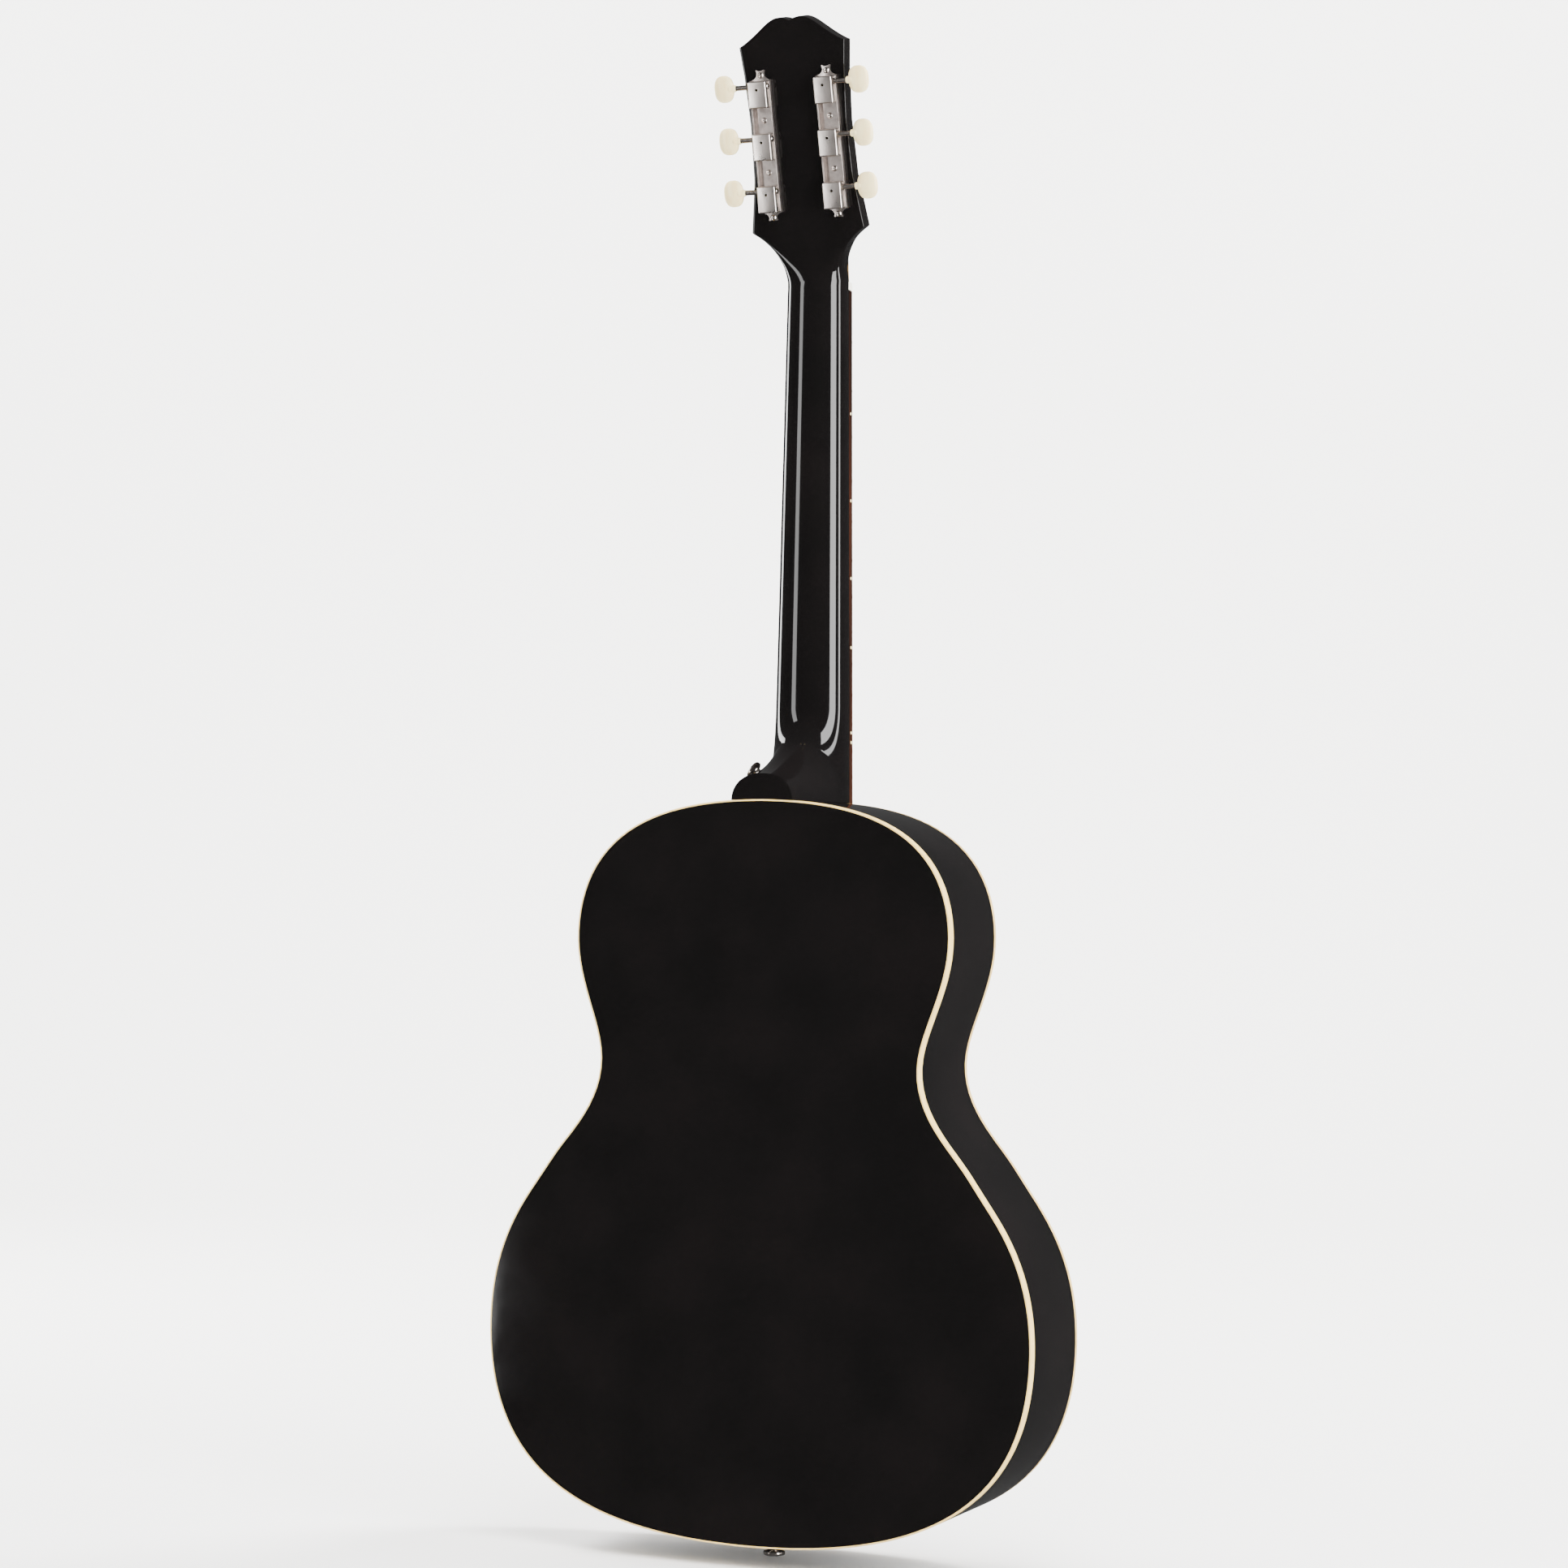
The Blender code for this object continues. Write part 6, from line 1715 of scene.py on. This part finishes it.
SOFTBOXES = (
    Softbox("key_strip", 42, 2.2, 0.8, (1.0, 2.4), 150),
    Softbox("fill_strip", -64, 2.2, 0.8, (0.4, 2.2), 25),
    Softbox("edge_strip", -130, 2.2, 0.8, (0.5, 2.2), 50),
    Softbox("rim_strip", 74, 2.1, 0.8, (0.3, 2.2), 35),
    Softbox("top_soft", 5, 1.5, 3.0, (1.6, 1.2), 110, mirrored=False),
    Softbox("paper_light_1", 115, 2.4, 3.2, (1.4, 1.4), 420, mirrored=False, on_paper=True),
    Softbox("paper_light_2", -115, 2.4, 3.2, (1.4, 1.4), 420, mirrored=False, on_paper=True),
)


@dataclass
class Studio:
    """Pale sweep, soft lights and the camera."""

    eye: tuple[float, float, float] = (-0.9784, 2.24765, 0.4594)
    heading: float = math.radians(23.533)
    pitch: float = math.radians(1.2475)
    roll: float = math.radians(0.7735)
    lens: float = 84.26
    middle: tuple[float, float, float] = (0, 0, 0.5)
    paper_spot: tuple[float, float, float] = (180, 3.0, 0.6)      # bearing, reach and height
    paper_half: float = 2.2
    paper_bend: float = 1.2
    paper_back: float = 3.6
    paper_top: float = 4.6
    paper_apron: float = 0.10
    paper_drop: float = 1 * MM        # below the guitar's lowest point
    floor_half: float = 9
    floor_drop: float = 4 * MM
    room_colour: str = "B8B8B8"
    room_strength: float = 0.2

    def build_camera(self) -> None:
        """Place the camera."""
        ahead = Vector((math.sin(self.heading) * math.cos(self.pitch),
                        -math.cos(self.heading) * math.cos(self.pitch), math.sin(self.pitch)))
        right = ahead.cross(Vector((0, 0, 1))).normalized()
        up = right.cross(ahead)
        across = right * math.cos(self.roll) + up * math.sin(self.roll)
        above = up * math.cos(self.roll) - right * math.sin(self.roll)
        data = bpy.data.cameras.new("camera")
        data.lens = self.lens
        data.sensor_width = 36
        camera = bpy.data.objects.new("camera", data)
        bpy.context.scene.collection.objects.link(camera)
        turn = Matrix((across, above, -ahead)).transposed().to_4x4()
        camera.matrix_world = Matrix.Translation(self.eye) @ turn
        bpy.context.scene.camera = camera

    def bearing(self, degrees: float, reach: float, height: float) -> Vector:
        """Place at a bearing from the guitar, counted from the camera towards image right."""
        camera = Vector((-math.sin(self.heading), math.cos(self.heading), 0))
        right = Vector((-math.cos(self.heading), -math.sin(self.heading), 0))
        angle = math.radians(degrees)
        return (camera * math.cos(angle) + right * math.sin(angle)) * reach + Vector((0, 0, height))

    def build_sweep(self) -> None:
        """Roll of paper behind and under the guitar, squared to the camera, on a duller floor.

        The lacquer reflects the dim room and not the paper, which hangs far
        enough back for a view from the front.
        """
        half, bend, back = self.paper_half, self.paper_bend, self.paper_back
        turn = Matrix.Rotation(self.heading, 4, "Z")
        profile = [(self.paper_apron, 0.0), (bend - back, 0.0)]
        profile += [(bend - back - bend * math.sin(a), bend - bend * math.cos(a))
                    for a in np.linspace(0, math.pi / 2, 13)[1:]]
        profile += [(-back, self.paper_top)]
        shape = bmesh.new()
        line = [shape.verts.new((-half, y, z - self.paper_drop)) for y, z in profile]
        edges = [shape.edges.new(pair) for pair in zip(line, line[1:])]
        made = bmesh.ops.extrude_edge_only(shape, edges=edges)
        bmesh.ops.translate(shape, verts=[v for v in made["geom"] if isinstance(v, bmesh.types.BMVert)],
                            vec=(half * 2, 0, 0))
        bmesh.ops.transform(shape, verts=shape.verts, matrix=turn)
        paper = new_piece("paper_sweep", shape, "paper", 60)
        paper.visible_glossy = False
        floor = bmesh.new()
        bmesh.ops.create_grid(floor, x_segments=1, y_segments=1, size=self.floor_half, matrix=turn)
        bmesh.ops.translate(floor, verts=floor.verts, vec=(0, 0, -self.floor_drop))
        backing = new_piece("studio_floor", floor, "studio_floor", 60)
        backing.visible_glossy = False

    def light(self, box: Softbox) -> None:
        """Place one soft light.

        Args:
            box: The light.
        """
        at = self.bearing(box.degrees, box.reach, box.height)
        aim = self.bearing(*self.paper_spot) if box.on_paper else Vector(self.middle)
        data = bpy.data.lights.new(box.name, "AREA")
        data.shape = "RECTANGLE"
        data.size, data.size_y = box.size
        data.energy = box.power
        lamp = bpy.data.objects.new(box.name, data)
        bpy.context.scene.collection.objects.link(lamp)
        lamp.visible_glossy = box.mirrored
        lamp.visible_camera = False
        turn = (aim - at).to_track_quat("-Z", "Y").to_matrix().to_4x4()
        lamp.matrix_world = Matrix.Translation(at) @ turn

    def build(self) -> None:
        """Build the studio."""
        self.build_camera()
        self.build_sweep()
        for box in SOFTBOXES:
            self.light(box)
        world = bpy.data.worlds.new("room")
        world.use_nodes = True
        background = world.node_tree.nodes["Background"]
        background.inputs["Color"].default_value = linear(self.room_colour)
        background.inputs["Strength"].default_value = self.room_strength
        bpy.context.scene.world = world
        LOG.info("studio built")


def main() -> None:
    """Build the guitar on its frame and set it in the studio."""
    logging.basicConfig(level=logging.INFO, format="%(name)s: %(message)s")
    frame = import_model()
    layout = Layout.read(frame)
    body = Body(layout)
    neck = Neck(layout, body)
    machines = Machines(layout)
    body.build()
    neck.build()
    machines.build()
    StringSet(layout, neck, machines).build()
    Trim(layout).build()
    dress_nodes(frame["nodes"])
    Studio().build()
    LOG.info("size written")


if __name__ == "__main__":
    main()
